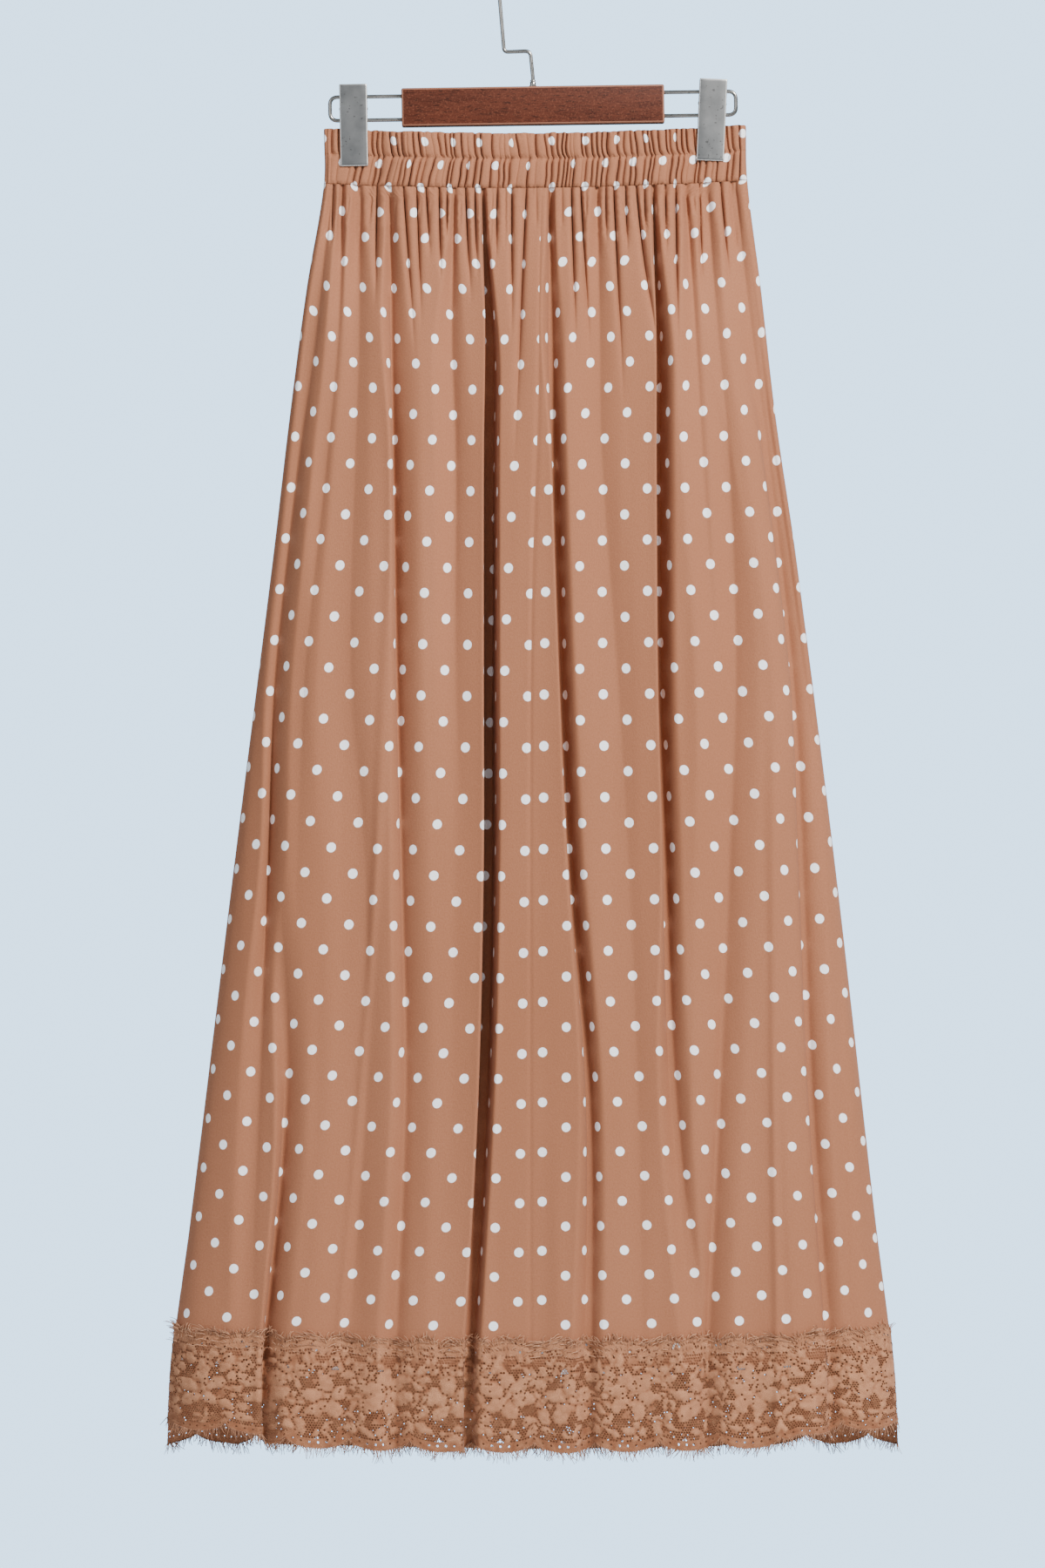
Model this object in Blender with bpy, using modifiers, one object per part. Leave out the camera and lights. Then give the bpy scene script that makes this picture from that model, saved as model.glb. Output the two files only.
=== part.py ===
"""Maxi skirt on a clip hanger: gathered cloth on an elastic waist, with a lace hem.

Metres, +Z up. The front faces -Y. The origin is the hang point, at the inner top of
the hook. Tables are in millimetres and name their columns.

The cloth is a set of walls, each lofted through rings. A ring is a line of points that
runs from the left side seam to the right one: flat in front, rounded at the sides, and
pushed in where a fold runs down the skirt.
"""
import math
import random
from collections import namedtuple

import bmesh
import bpy
from mathutils import Vector

for old_object in list(bpy.data.objects):
    bpy.data.objects.remove(old_object, do_unlink=True)

MM = 0.001
SEAM_GAP = 0.3 * MM
FRONT = -1.0
BACK = 1.0

# Cloth walls
PANEL_WALL = 1.5 * MM
BAND_WALL = 4.0 * MM
LACE_WALL = 1.0 * MM
MITRE_LIMIT = 1.5

# Wire hook, wooden bar and the two wire loops that slide into its ends
WIRE_RADIUS = 1.5 * MM
HOOK_BEND_RADIUS = 27.0 * MM
HOOK_TIP_ANGLE = math.radians(-35)
HANGER_TILT = math.radians(0.84)
BAR_HEIGHT_Z = -127.9 * MM
BAR_SIZE = (199 * MM, 14 * MM, 29 * MM)
BAR_BEVEL = 1.4 * MM
ROD_SPACING = 17.8 * MM
ROD_REACH = 153.8 * MM
ROD_CORNER_RADIUS = 6.0 * MM
ROD_SOCKET_DEPTH = 12.0 * MM
STEM_SOCKET_DEPTH = 10.0 * MM
FIT_GAP = 0.3 * MM
ROUND_SIDES = 8

# Spring clips
CLIP_X = 136.0 * MM
CLIP_Z = -140.7 * MM
CLIP_SIZE = (21.0 * MM, 62.0 * MM)
CLIP_LEAN = {"left": math.radians(-1.1), "right": math.radians(2.5)}
CLIP_SHEET = 1.2 * MM
CLIP_JAW_Y = 4.9 * MM
CLIP_CHEEK_HEIGHT = 31.0 * MM
CLIP_ROD_PLAY = 0.9 * MM
PIN_RADIUS = 1.1 * MM
PIN_Y = 1.0 * MM
SPRING_WIDTH = 11.0 * MM
SPRING_SHEET = 0.6 * MM

# Outline and depth of the skirt, from the waist's top edge to the lace's lower edge.
# Heights are those at the sides: the middle hangs lower by middle_drop.
Section = namedtuple("Section", "height left right front_depth back_depth roundness middle_drop")
SECTIONS = (
    Section(-144.5, -158.5, 161.5, 10.0, 10.0, 10.0, 5.3),
    Section(-186.0, -158.5, 162.5, 12.0, 12.0, 8.0, 5.3),
    Section(-265.0, -171.5, 172.5, 21.0, 20.0, 6.0, 5.0),
    Section(-364.0, -184.5, 184.0, 30.0, 28.0, 4.5, 4.5),
    Section(-470.0, -197.0, 199.5, 36.0, 33.0, 4.0, 4.5),
    Section(-707.0, -227.0, 229.5, 43.0, 40.0, 4.0, 5.5),
    Section(-971.0, -259.5, 259.5, 47.0, 45.0, 4.0, 7.0),
    Section(-1076.0, -273.5, 272.5, 50.0, 48.0, 4.0, 8.0),
    Section(-1132.0, -276.5, 276.0, 51.0, 49.0, 4.0, 8.0),
)
WAIST_TILT = 0.0083
WAIST_TILT_ENDS = -0.400
CLIP_GRIP_DEPTH = 4.6 * MM
CLIP_GRIP_HALF = 12.0 * MM
CLIP_GRIP_REACH = 40.0 * MM
CLIP_GRIP_FOOT = -0.176
CLIP_GRIP_ENDS = -0.300

# Folds: where each valley runs and how far it is pushed in, at five heights. Its left
# and right widths are the runs of cloth that fall into it, and "gathers_after" counts
# the small gathers between it and the next row.
FOLD_HEIGHTS = (-0.186, -0.391, -0.641, -0.872, -1.076)
Fold = namedtuple(
    "Fold",
    "name waist_x upper_x middle_x lower_x hem_x "
    "waist_in upper_in middle_in lower_in hem_in left_width right_width gathers_after")
FRONT_FOLDS = (
    Fold("left_side", -150, -175, -194, -192, -203, 2, 8, 11, 11, 12, 5, 12, 0),
    Fold("clip_left", -141, -153, -158, -162, -166, 6, 3, 0, 0, 0, 0, 0, 0),
    Fold("left_soft", -130, -135, -139, -143, -146, 7, 5, 2, 0, 0, 0, 0, 1),
    Fold("left_pleat", -108, -102, -94, -90, -107, 7, 13, 11, 8, 7, 5, 16, 3),
    Fold("left_inner", -58, -57, -54, -61, -71, 7, 6, 1, 0, 0, 0, 0, 1),
    Fold("left_deep", -34, -34, -31, -40, -51, 8, 22, 24, 18, 12, 6, 7, 2),
    Fold("centre_seam", 6, 1, -2, -2, -2, 1, 1, 1, 1, 1, 0, 0, 0),
    Fold("right_of_seam", 13, 20, 29, 44, 42, 7, 15, 15, 13, 9, 5, 14, 2),
    Fold("right_soft", 49, 53, 69, 74, 75, 7, 6, 3, 1, 1, 0, 0, 2),
    Fold("right_deep", 95, 96, 102, 108, 108, 9, 20, 14, 8, 4, 4, 8, 1),
    Fold("clip_right", 119, 126, 129, 126, 118, 7, 4, 1, 0, 0, 0, 0, 0),
    Fold("right_outer", 136, 149, 150, 142, 131, 8, 9, 8, 8, 7, 0, 0, 1),
    Fold("right_side", 151, 178, 198, 210, 226, 3, 11, 13, 12, 11, 8, 16, 0),
)
BACK_FOLDS = (
    Fold("back_left_side", -148, -172, -192, -208, -224, 3, 9, 11, 10, 10, 6, 12, 1),
    Fold("back_left_soft", -112, -122, -130, -140, -150, 7, 7, 4, 2, 1, 0, 0, 1),
    Fold("back_left_deep", -78, -84, -96, -103, -112, 8, 13, 14, 12, 9, 5, 12, 2),
    Fold("back_left_inner", -38, -42, -42, -40, -34, 7, 6, 3, 1, 0, 0, 0, 1),
    Fold("back_middle", -6, -2, 6, 13, 22, 7, 11, 13, 12, 9, 10, 6, 1),
    Fold("back_right_inner", 32, 40, 50, 62, 74, 7, 6, 3, 2, 1, 0, 0, 2),
    Fold("back_right_deep", 76, 84, 98, 110, 124, 8, 14, 15, 12, 8, 6, 14, 1),
    Fold("back_right_soft", 112, 124, 140, 154, 168, 7, 7, 6, 7, 7, 0, 0, 1),
    Fold("back_right_side", 148, 172, 194, 212, 228, 3, 9, 11, 10, 9, 10, 6, 0),
)
LIP_RISE = 0.12
LIP_SHARE_OF_GAP = 0.38
DEEPEST_SHARE = 0.75
GATHER_DEPTH = 5.5 * MM
GATHER_RELEASE = 20.0 * MM
GATHER_AT_STITCH = 0.45
GATHER_ENDS = -0.340
SIDE_SHARES = (1.0, 0.99, 0.97)

# Rings of the panels, as depths below the waist's lower stitch line
BAND_HEIGHT = 41.0 * MM
BAND_TOP = SECTIONS[0].height * MM
BAND_FOOT = BAND_TOP - BAND_HEIGHT
PANEL_FOOT = -1.076
PANEL_RINGS = (0.0, 0.020, 0.055, 0.100, 0.150, 0.215, 0.310, 0.430, 0.555, 0.680, 0.790)

# Lace: its top lies on the panels' lowest strip, and its lower edge is scalloped
LACE_TOP = -1.056
LACE_MIDDLE = -1.105
LACE_FOOT = -1.131
SCALLOP_WIDTH = 46.0 * MM
SCALLOP_DEPTH = 8.0 * MM
NOTCH_CLEARANCE = 0.12

# Eyelash fringe: three-sided strands on a narrow strip below the lace
LASH_PITCH = 6.8 * MM
LASH_LENGTH = 6.0 * MM
LASH_WIDTH = 1.0 * MM
LASH_STRIP = 1.1 * MM
LASH_UNEVEN = 0.35

# Shirred waist: gathers in two channels, with a row of stitching under each
FRONT_GATHERS = 54
BACK_GATHERS = 46
BAND_GATHER_RISE = 2.4 * MM
BAND_INNER_STEP = 4
BAND_SLOT = 0.5 * MM
BandRow = namedtuple("BandRow", "name below gather_share tuck slant")
BAND_ROWS = (
    BandRow("top_edge", 0.0, 0.45, 1.3, 0.0),
    BandRow("shoulder", 3.5, 1.00, 0.0, 0.2),
    BandRow("upper_channel", 12.5, 1.00, 0.0, 0.9),
    BandRow("upper_stitching", 18.5, 0.50, 1.3, 1.3),
    BandRow("lower_channel", 25.0, 1.00, 0.0, 0.4),
    BandRow("lower_channel_foot", 35.5, 1.00, 0.0, -0.9),
    BandRow("lower_stitching", 41.0, 0.50, 1.0, -1.2),
)

part_collection = bpy.data.collections.new("maxi_skirt")
cutter_collection = bpy.data.collections.new("cutters")
bpy.context.scene.collection.children.link(part_collection)
bpy.context.scene.collection.children.link(cutter_collection)


# ---------------------------------------------------------------- materials

def make_material(name, colour, roughness, metallic=0.0):
    material = bpy.data.materials.new(name)
    material.use_nodes = True
    shader = material.node_tree.nodes["Principled BSDF"]
    shader.inputs["Base Color"].default_value = (*colour, 1.0)
    shader.inputs["Roughness"].default_value = roughness
    shader.inputs["Metallic"].default_value = metallic
    return material


cloth_material = make_material("skirt_cloth", (0.47, 0.22, 0.12), 0.85)
lace_material = make_material("lace", (0.40, 0.16, 0.08), 0.80)
wood_material = make_material("bar_wood", (0.16, 0.045, 0.022), 0.45)
wire_material = make_material("polished_wire", (0.80, 0.79, 0.76), 0.15, 1.0)
clip_material = make_material("satin_metal", (0.42, 0.42, 0.41), 0.42, 1.0)


# ---------------------------------------------------------------- small helpers

def read_curve(stations, values, at):
    """Value at one place on a smooth curve through the stations, which run downwards."""
    if at >= stations[0]:
        return values[0]
    if at <= stations[-1]:
        return values[-1]
    last = len(stations) - 1
    k = next(i for i in range(last) if stations[i + 1] <= at)
    span = stations[k + 1] - stations[k]
    t = (at - stations[k]) / span

    def slope(i):
        before, after = max(i - 1, 0), min(i + 1, last)
        return (values[after] - values[before]) / (stations[after] - stations[before])

    start = (1 + 2 * t) * (1 - t) ** 2 * values[k] + t * (1 - t) ** 2 * span * slope(k)
    end = t * t * (3 - 2 * t) * values[k + 1] + t * t * (t - 1) * span * slope(k + 1)
    return start + end


def ramp(at, start, end):
    """Smooth step: 0 at start, 1 at end."""
    t = min(max((at - start) / (end - start), 0.0), 1.0)
    return t * t * (3 - 2 * t)


SECTION_HEIGHTS = tuple(row.height * MM for row in SECTIONS)


def section_value(column, height):
    values = [getattr(row, column) for row in SECTIONS]
    return read_curve(SECTION_HEIGHTS, values, height)


def half_depth(height, x, side):
    """How far the cloth stands in front of (or behind) the middle plane, with no folds."""
    left = section_value("left", height) * MM
    right = section_value("right", height) * MM
    share = abs(x - (left + right) / 2) / ((right - left) / 2)
    depth = section_value("front_depth" if side == FRONT else "back_depth", height) * MM
    rounding = math.sqrt(max(1 - share ** section_value("roundness", height), 0.0))
    near_clip = 1 - ramp(abs(abs(x) - CLIP_X), CLIP_GRIP_HALF, CLIP_GRIP_REACH)
    grip = near_clip * (1 - ramp(height, CLIP_GRIP_FOOT, CLIP_GRIP_ENDS))
    free = depth * rounding
    return free + grip * (min(free, CLIP_GRIP_DEPTH) - free)


def hung_height(height, x):
    """Height of a point of a ring: the middle hangs lower, and the waist tilts a little."""
    left = section_value("left", height) * MM
    right = section_value("right", height) * MM
    share = (x - (left + right) / 2) / ((right - left) / 2)
    tilt = WAIST_TILT * (1 - ramp(height, BAND_FOOT, WAIST_TILT_ENDS))
    drop = section_value("middle_drop", height) * MM * max(1 - share * share, 0.0)
    return height - drop + tilt * x


def offset_line(points, distance, side, flat_columns=()):
    """Move a ring's line of (x, y) points towards the inside of the skirt.

    The end points move along X only, and those in flat_columns along Y only, so that
    the walls that meet at a seam have parallel edges.
    """
    moved = []
    last = len(points) - 1
    for i, (x, y) in enumerate(points):
        if i in (0, last):
            moved.append((x + (distance if i == 0 else -distance), y))
            continue
        if i in flat_columns:
            moved.append((x, y - side * distance))
            continue
        before = Vector((x - points[i - 1][0], y - points[i - 1][1])).normalized()
        after = Vector((points[i + 1][0] - x, points[i + 1][1] - y)).normalized()
        along = (before + after).normalized()
        normal = Vector((along.y, -along.x)) * side
        mitre = min(1 / max(along.dot(after), 0.1), MITRE_LIMIT)
        moved.append((x + normal.x * distance * mitre, y + normal.y * distance * mitre))
    return moved


def add_object(name, mesh, material, collection=part_collection):
    item = bpy.data.objects.new(name, mesh)
    if material is not None:
        mesh.materials.append(material)
    collection.objects.link(item)
    return item


def wall_solid(name, outer_rings, inner_rings, material):
    """Closed wall between two grids of points, each a list of rings from top to bottom."""
    mesh = bpy.data.meshes.new(name)
    builder = bmesh.new()
    outer = [[builder.verts.new(p) for p in ring] for ring in outer_rings]
    inner = [[builder.verts.new(p) for p in ring] for ring in inner_rings]
    rows, columns = len(outer), len(outer[0])
    for r in range(rows - 1):
        for c in range(columns - 1):
            builder.faces.new((outer[r][c], outer[r + 1][c], outer[r + 1][c + 1], outer[r][c + 1]))
            builder.faces.new((inner[r][c], inner[r][c + 1], inner[r + 1][c + 1], inner[r + 1][c]))
        for c, turn in ((0, 1), (columns - 1, -1)):
            edge = (outer[r][c], inner[r][c], inner[r + 1][c], outer[r + 1][c])
            builder.faces.new(edge[::turn])
    for r, turn in ((0, 1), (rows - 1, -1)):
        for c in range(columns - 1):
            edge = (outer[r][c], outer[r][c + 1], inner[r][c + 1], inner[r][c])
            builder.faces.new(edge[::turn])
    bmesh.ops.triangulate(builder, faces=builder.faces, quad_method="FIXED")
    bmesh.ops.recalc_face_normals(builder, faces=builder.faces)
    builder.to_mesh(mesh)
    builder.free()
    return add_object(name, mesh, material)


# ---------------------------------------------------------------- panels

def fold_x(fold, height):
    return read_curve(FOLD_HEIGHTS, fold[1:6], height) * MM


def fold_depth(fold, height):
    return read_curve(FOLD_HEIGHTS, fold[6:11], height) * MM


def ring_marks(folds, height):
    """Columns of a ring as (x, pushed in, is the seam), from left to right."""
    left = section_value("left", height) * MM
    right = section_value("right", height) * MM
    middle, half = (left + right) / 2, (right - left) / 2
    release = GATHER_AT_STITCH + (1 - GATHER_AT_STITCH) * ramp(
        height, BAND_FOOT, BAND_FOOT - GATHER_RELEASE)
    gather = GATHER_DEPTH * (1 - ramp(height, BAND_FOOT - GATHER_RELEASE, GATHER_ENDS))
    inner_share = SIDE_SHARES[-1]
    valleys = [middle - half * inner_share]
    valleys += [fold_x(fold, height) for fold in folds]
    valleys += [middle + half * inner_share]
    marks = [(middle - half * share, 0.0, False) for share in SIDE_SHARES]
    reached = valleys[0]
    gathers = 0
    for k, fold in enumerate(folds, start=1):
        x = valleys[k]
        depth = fold_depth(fold, height)
        left_run = min(fold.left_width * MM, LIP_SHARE_OF_GAP * (x - valleys[k - 1]))
        right_run = min(fold.right_width * MM, LIP_SHARE_OF_GAP * (valleys[k + 1] - x))
        marks += gather_marks(reached, x - left_run, gathers, gather)
        if fold.left_width:
            marks.append((x - left_run, -LIP_RISE * depth, False))
        marks.append((x, depth, fold.name == "centre_seam"))
        if fold.right_width:
            marks.append((x + right_run, LIP_RISE * depth, False))
        reached = x + right_run
        gathers = fold.gathers_after
    marks += gather_marks(reached, valleys[-1], gathers, gather)
    marks += [(middle + half * share, 0.0, False) for share in reversed(SIDE_SHARES)]
    return [(x, depth * release, seam) for x, depth, seam in marks]


def gather_marks(start, end, gathers, depth):
    """Evenly spaced columns between two folds: crests, with the small gathers between."""
    count = 2 * gathers + 1
    step = (end - start) / (count + 1)
    return [(start + step * (i + 1), depth * (i % 2), False) for i in range(count)]


def ring_line(folds, height, side):
    """One ring's outer (x, y) points, and the number of its seam column."""
    line = []
    seam_column = None
    for x, pushed, is_seam in ring_marks(folds, height):
        depth = half_depth(height, x, side)
        y = side * max(depth - min(pushed, depth * DEEPEST_SHARE), SEAM_GAP / 2)
        if is_seam:
            seam_column = len(line)
        line.append((x, y))
    return line, seam_column


def lift(line, height):
    return [(x, y, hung_height(height, x)) for x, y in line]


def panel_heights():
    below = [BAND_FOOT - SEAM_GAP - depth for depth in PANEL_RINGS]
    return below + [LACE_TOP, PANEL_FOOT]


def build_front_panels():
    left_walls, right_walls = ([], []), ([], [])
    for height in panel_heights():
        line, seam = ring_line(FRONT_FOLDS, height, FRONT)
        inner = offset_line(line, PANEL_WALL, FRONT, flat_columns=(seam,))
        for points, left_wall, right_wall in ((line, left_walls[0], right_walls[0]),
                                              (inner, left_walls[1], right_walls[1])):
            seam_x, seam_y = points[seam]
            left_part = points[:seam] + [(seam_x - SEAM_GAP / 2, seam_y)]
            right_part = [(seam_x + SEAM_GAP / 2, seam_y)] + points[seam + 1:]
            left_wall.append(lift(left_part, height))
            right_wall.append(lift(right_part, height))
    wall_solid("front_left", *left_walls, cloth_material)
    wall_solid("front_right", *right_walls, cloth_material)


def build_back_panel():
    outer, inner = [], []
    for height in panel_heights():
        line, _ = ring_line(BACK_FOLDS, height, BACK)
        outer.append(lift(line, height))
        inner.append(lift(offset_line(line, PANEL_WALL, BACK), height))
    wall_solid("back", outer, inner, cloth_material)


# ---------------------------------------------------------------- lace and its fringe

def scallop_drop(x):
    """How far the lace's edge hangs below its notches."""
    return SCALLOP_DEPTH * math.sqrt(abs(math.sin(math.pi * x / SCALLOP_WIDTH)))


def notch_columns(folds, side):
    """Extra columns at the notches, as (column before, share of the way to the next)."""
    line, _ = ring_line(folds, LACE_FOOT, side)
    first = math.ceil(line[0][0] / SCALLOP_WIDTH)
    last = math.floor(line[-1][0] / SCALLOP_WIDTH)
    columns = []
    for k in range(first, last + 1):
        notch_x = k * SCALLOP_WIDTH
        before = max(i for i in range(len(line) - 1) if line[i][0] <= notch_x)
        start, end = line[before][0], line[before + 1][0]
        share = (notch_x - start) / (end - start)
        if NOTCH_CLEARANCE < share < 1 - NOTCH_CLEARANCE:
            columns.append((before, share))
    return columns


def lace_line(folds, height, side):
    """The panels' ring line with a column added at each notch."""
    line, seam = ring_line(folds, height, side)
    for before, share in reversed(notch_columns(folds, side)):
        (x0, y0), (x1, y1) = line[before], line[before + 1]
        line.insert(before + 1, (x0 + (x1 - x0) * share, y0 + (y1 - y0) * share))
        if seam is not None and before < seam:
            seam += 1
    return line, seam


def lace_ring(folds, side, height, scalloped=False):
    """Inner and outer points of the lace at one height, lying just outside the panels."""
    line, seam = lace_line(folds, height, side)
    flat = () if seam is None else (seam,)
    rings = []
    for distance in (-SEAM_GAP, -SEAM_GAP - LACE_WALL):
        moved = offset_line(line, distance, side, flat_columns=flat)
        ring = lift(moved, height)
        if scalloped:
            ring = [(x, y, z - scallop_drop(line[i][0])) for i, (x, y, z) in enumerate(ring)]
        rings.append(ring)
    return rings


def build_lace(name, folds, side):
    inner, outer = [], []
    for height in (LACE_TOP, PANEL_FOOT, LACE_MIDDLE, LACE_FOOT):
        inside, outside = lace_ring(folds, side, height, scalloped=height == LACE_FOOT)
        inner.append(inside)
        outer.append(outside)
    wall_solid(name, outer, inner, lace_material)


def build_lashes(name, folds, side, seed):
    """Strip with a three-cornered section, from which the strands hang as slim points."""
    chance = random.Random(seed)
    inside, outside = lace_ring(folds, side, LACE_FOOT, scalloped=True)
    edge = [(Vector(a) + Vector(b)) / 2 for a, b in zip(inside, outside)]
    roots = []
    for start, end in zip(edge, edge[1:]):
        count = max(1, round((end - start).length / LASH_PITCH))
        roots += [start.lerp(end, k / count) for k in range(count)]
    roots[0] = edge[0] + (edge[1] - edge[0]).normalized() * LASH_WIDTH
    roots.append(edge[-1] + (edge[-2] - edge[-1]).normalized() * LASH_WIDTH)
    mesh = bpy.data.meshes.new(name)
    builder = bmesh.new()
    strands = []
    for i, root in enumerate(roots):
        before, after = roots[max(i - 1, 0)], roots[min(i + 1, len(roots) - 1)]
        along = (after - before).normalized() * (LASH_WIDTH / 2)
        outward = Vector((after.y - before.y, before.x - after.x, 0)).normalized() * -side
        outward *= LACE_WALL / 2
        top = root - Vector((0, 0, SEAM_GAP))
        low = top - Vector((0, 0, LASH_STRIP))
        length = LASH_LENGTH * (1 + LASH_UNEVEN * (chance.random() - 0.5))
        corners = [top, low + outward - along, low + outward + along, low - outward,
                   low - Vector((0, 0, length))]
        strands.append([builder.verts.new(corner) for corner in corners])
    for top, near, far, back, tip in strands:
        builder.faces.new((near, far, tip))
        builder.faces.new((far, back, tip))
        builder.faces.new((back, near, tip))
        builder.faces.new((top, far, near))
    for this, following in zip(strands, strands[1:]):
        builder.faces.new((this[0], following[0], following[1], this[2]))
        builder.faces.new((this[2], following[1], following[3], this[3]))
        builder.faces.new((this[3], following[3], following[0], this[0]))
    first, last = strands[0], strands[-1]
    builder.faces.new((first[0], first[1], first[3]))
    builder.faces.new((last[0], last[3], last[2]))
    bmesh.ops.triangulate(builder, faces=builder.faces)
    bmesh.ops.recalc_face_normals(builder, faces=builder.faces)
    builder.to_mesh(mesh)
    builder.free()
    add_object(name, mesh, lace_material)


# ---------------------------------------------------------------- elastic waist

def even_shares(height, side, count):
    """Shares of the half width (-1 to 1) that part one side of the waist evenly by length."""
    steps = 400
    left = section_value("left", height) * MM
    right = section_value("right", height) * MM
    middle, half = (left + right) / 2, (right - left) / 2
    shares = [math.sin(math.pi * (i / steps - 0.5)) for i in range(steps + 1)]
    points = [Vector((middle + half * s, half_depth(height, middle + half * s, side)))
              for s in shares]
    lengths = [0.0]
    for a, b in zip(points, points[1:]):
        lengths.append(lengths[-1] + (b - a).length)
    picked = []
    k = 0
    for i in range(count):
        wanted = lengths[-1] * i / count
        while lengths[k + 1] < wanted:
            k += 1
        t = (wanted - lengths[k]) / (lengths[k + 1] - lengths[k])
        picked.append(shares[k] + (shares[k + 1] - shares[k]) * t)
    return picked


def build_waistband():
    """Closed ring: gathers raised on its outer face, over a plain inner face."""
    chance = random.Random(7)
    front = even_shares(BAND_TOP, FRONT, 2 * FRONT_GATHERS)
    back = even_shares(BAND_TOP, BACK, 2 * BACK_GATHERS)
    loop = [(share, FRONT) for share in front] + [(-share, BACK) for share in back]
    columns = len(loop)
    uneven = [0.75 + 0.25 * chance.random() for _ in range(columns)]
    sway = [0.6 * (chance.random() - 0.5) for _ in range(columns)]

    outer_rings, inner_rings = [], []
    for row in BAND_ROWS:
        height = BAND_TOP - row.below * MM
        left = section_value("left", height) * MM
        right = section_value("right", height) * MM
        middle, half = (left + right) / 2, (right - left) / 2
        ring = []
        for i, (share, side) in enumerate(loop):
            near_side = 1 - abs(share) ** 12
            x = middle + half * share + (row.slant + sway[i]) * MM * near_side
            valley = i % 2 == 0
            sunk = row.tuck * MM
            if valley:
                sunk += BAND_GATHER_RISE * row.gather_share * uneven[i]
            squash = 1 - sunk / half
            depth = half_depth(height, x, side)
            y = side * max(depth - sunk, depth * 0.3)
            ring.append((middle + (x - middle) * squash, y, hung_height(height, x)))
        outer_rings.append(ring)
        if row in (BAND_ROWS[0], BAND_ROWS[-1]):
            inner = []
            for share, side in loop[::BAND_INNER_STEP]:
                x = middle + (half - BAND_WALL) * share
                depth = max(half_depth(height, x, side) - BAND_WALL, BAND_SLOT)
                inner.append((x, side * depth * (1 - abs(share) ** 40), hung_height(height, x)))
            inner_rings.append(inner)

    mesh = bpy.data.meshes.new("waistband")
    builder = bmesh.new()
    outer = [[builder.verts.new(p) for p in ring] for ring in outer_rings]
    inner = [[builder.verts.new(p) for p in ring] for ring in inner_rings]
    for upper, lower in list(zip(outer, outer[1:])) + [tuple(inner)]:
        count = len(upper)
        for c in range(count):
            following = (c + 1) % count
            builder.faces.new((upper[c], lower[c], lower[following], upper[following]))
    for outside, inside in ((outer[0], inner[0]), (outer[-1], inner[-1])):
        for j in range(len(inside)):
            first = j * BAND_INNER_STEP
            for k in range(first, first + BAND_INNER_STEP):
                builder.faces.new((outside[k], outside[(k + 1) % columns], inside[j]))
            end = outside[(first + BAND_INNER_STEP) % columns]
            builder.faces.new((end, inside[(j + 1) % len(inside)], inside[j]))
    bmesh.ops.triangulate(builder, faces=builder.faces, quad_method="FIXED")
    bmesh.ops.recalc_face_normals(builder, faces=builder.faces)
    builder.to_mesh(mesh)
    builder.free()
    add_object("waistband", mesh, cloth_material)


# ---------------------------------------------------------------- hanger

def rounded_path(corners, radii, steps=4):
    """Points of a path in the XZ plane, with each inner corner turned on a small arc."""
    path = [corners[0]]
    for k in range(1, len(corners) - 1):
        corner = corners[k]
        back = (corners[k - 1] - corner).normalized()
        ahead = (corners[k + 1] - corner).normalized()
        reach = radii[k - 1] / math.tan(back.angle(ahead) / 2)
        start, end = corner + back * reach, corner + ahead * reach
        for i in range(steps + 1):
            t = i / steps
            path.append(start * (1 - t) ** 2 + corner * 2 * t * (1 - t) + end * t * t)
    path.append(corners[-1])
    return path


def wire(name, path, parent=None):
    curve = bpy.data.curves.new(name, "CURVE")
    curve.dimensions = "3D"
    curve.bevel_depth = WIRE_RADIUS
    curve.bevel_resolution = 2
    curve.use_fill_caps = True
    spline = curve.splines.new("POLY")
    spline.points.add(len(path) - 1)
    for point, place in zip(spline.points, path):
        point.co = (*place, 1.0)
    curve.materials.append(wire_material)
    item = bpy.data.objects.new(name, curve)
    part_collection.objects.link(item)
    item.parent = parent
    return item


def add_empty(name, location, turn):
    empty = bpy.data.objects.new(name, None)
    empty.location = location
    empty.rotation_euler.y = turn
    part_collection.objects.link(empty)
    return empty


def box(name, size, centre, parent, material=None, bevel=0.0, collection=part_collection):
    mesh = bpy.data.meshes.new(name)
    builder = bmesh.new()
    bmesh.ops.create_cube(builder, size=1.0)
    bmesh.ops.scale(builder, vec=size, verts=builder.verts)
    if bevel:
        bmesh.ops.bevel(builder, geom=builder.edges, offset=bevel, segments=1, affect="EDGES")
    builder.to_mesh(mesh)
    builder.free()
    item = add_object(name, mesh, material, collection)
    item.location = centre
    item.parent = parent
    return item


def cylinder(name, radius, length, centre, parent, along="X", material=None,
             collection=part_collection):
    mesh = bpy.data.meshes.new(name)
    builder = bmesh.new()
    bmesh.ops.create_cone(builder, cap_ends=True, segments=ROUND_SIDES, radius1=radius,
                          radius2=radius, depth=length)
    builder.to_mesh(mesh)
    builder.free()
    mesh.shade_smooth()
    mesh.set_sharp_from_angle(angle=math.radians(40))
    item = add_object(name, mesh, material, collection)
    item.location = centre
    item.rotation_euler.y = math.pi / 2 if along == "X" else 0.0
    item.parent = parent
    return item


def cut(item, cutter):
    cutter.hide_render = True
    cutter.display_type = "WIRE"
    boolean = item.modifiers.new(cutter.name, "BOOLEAN")
    boolean.operation = "DIFFERENCE"
    boolean.solver = "EXACT"
    boolean.object = cutter


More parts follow.
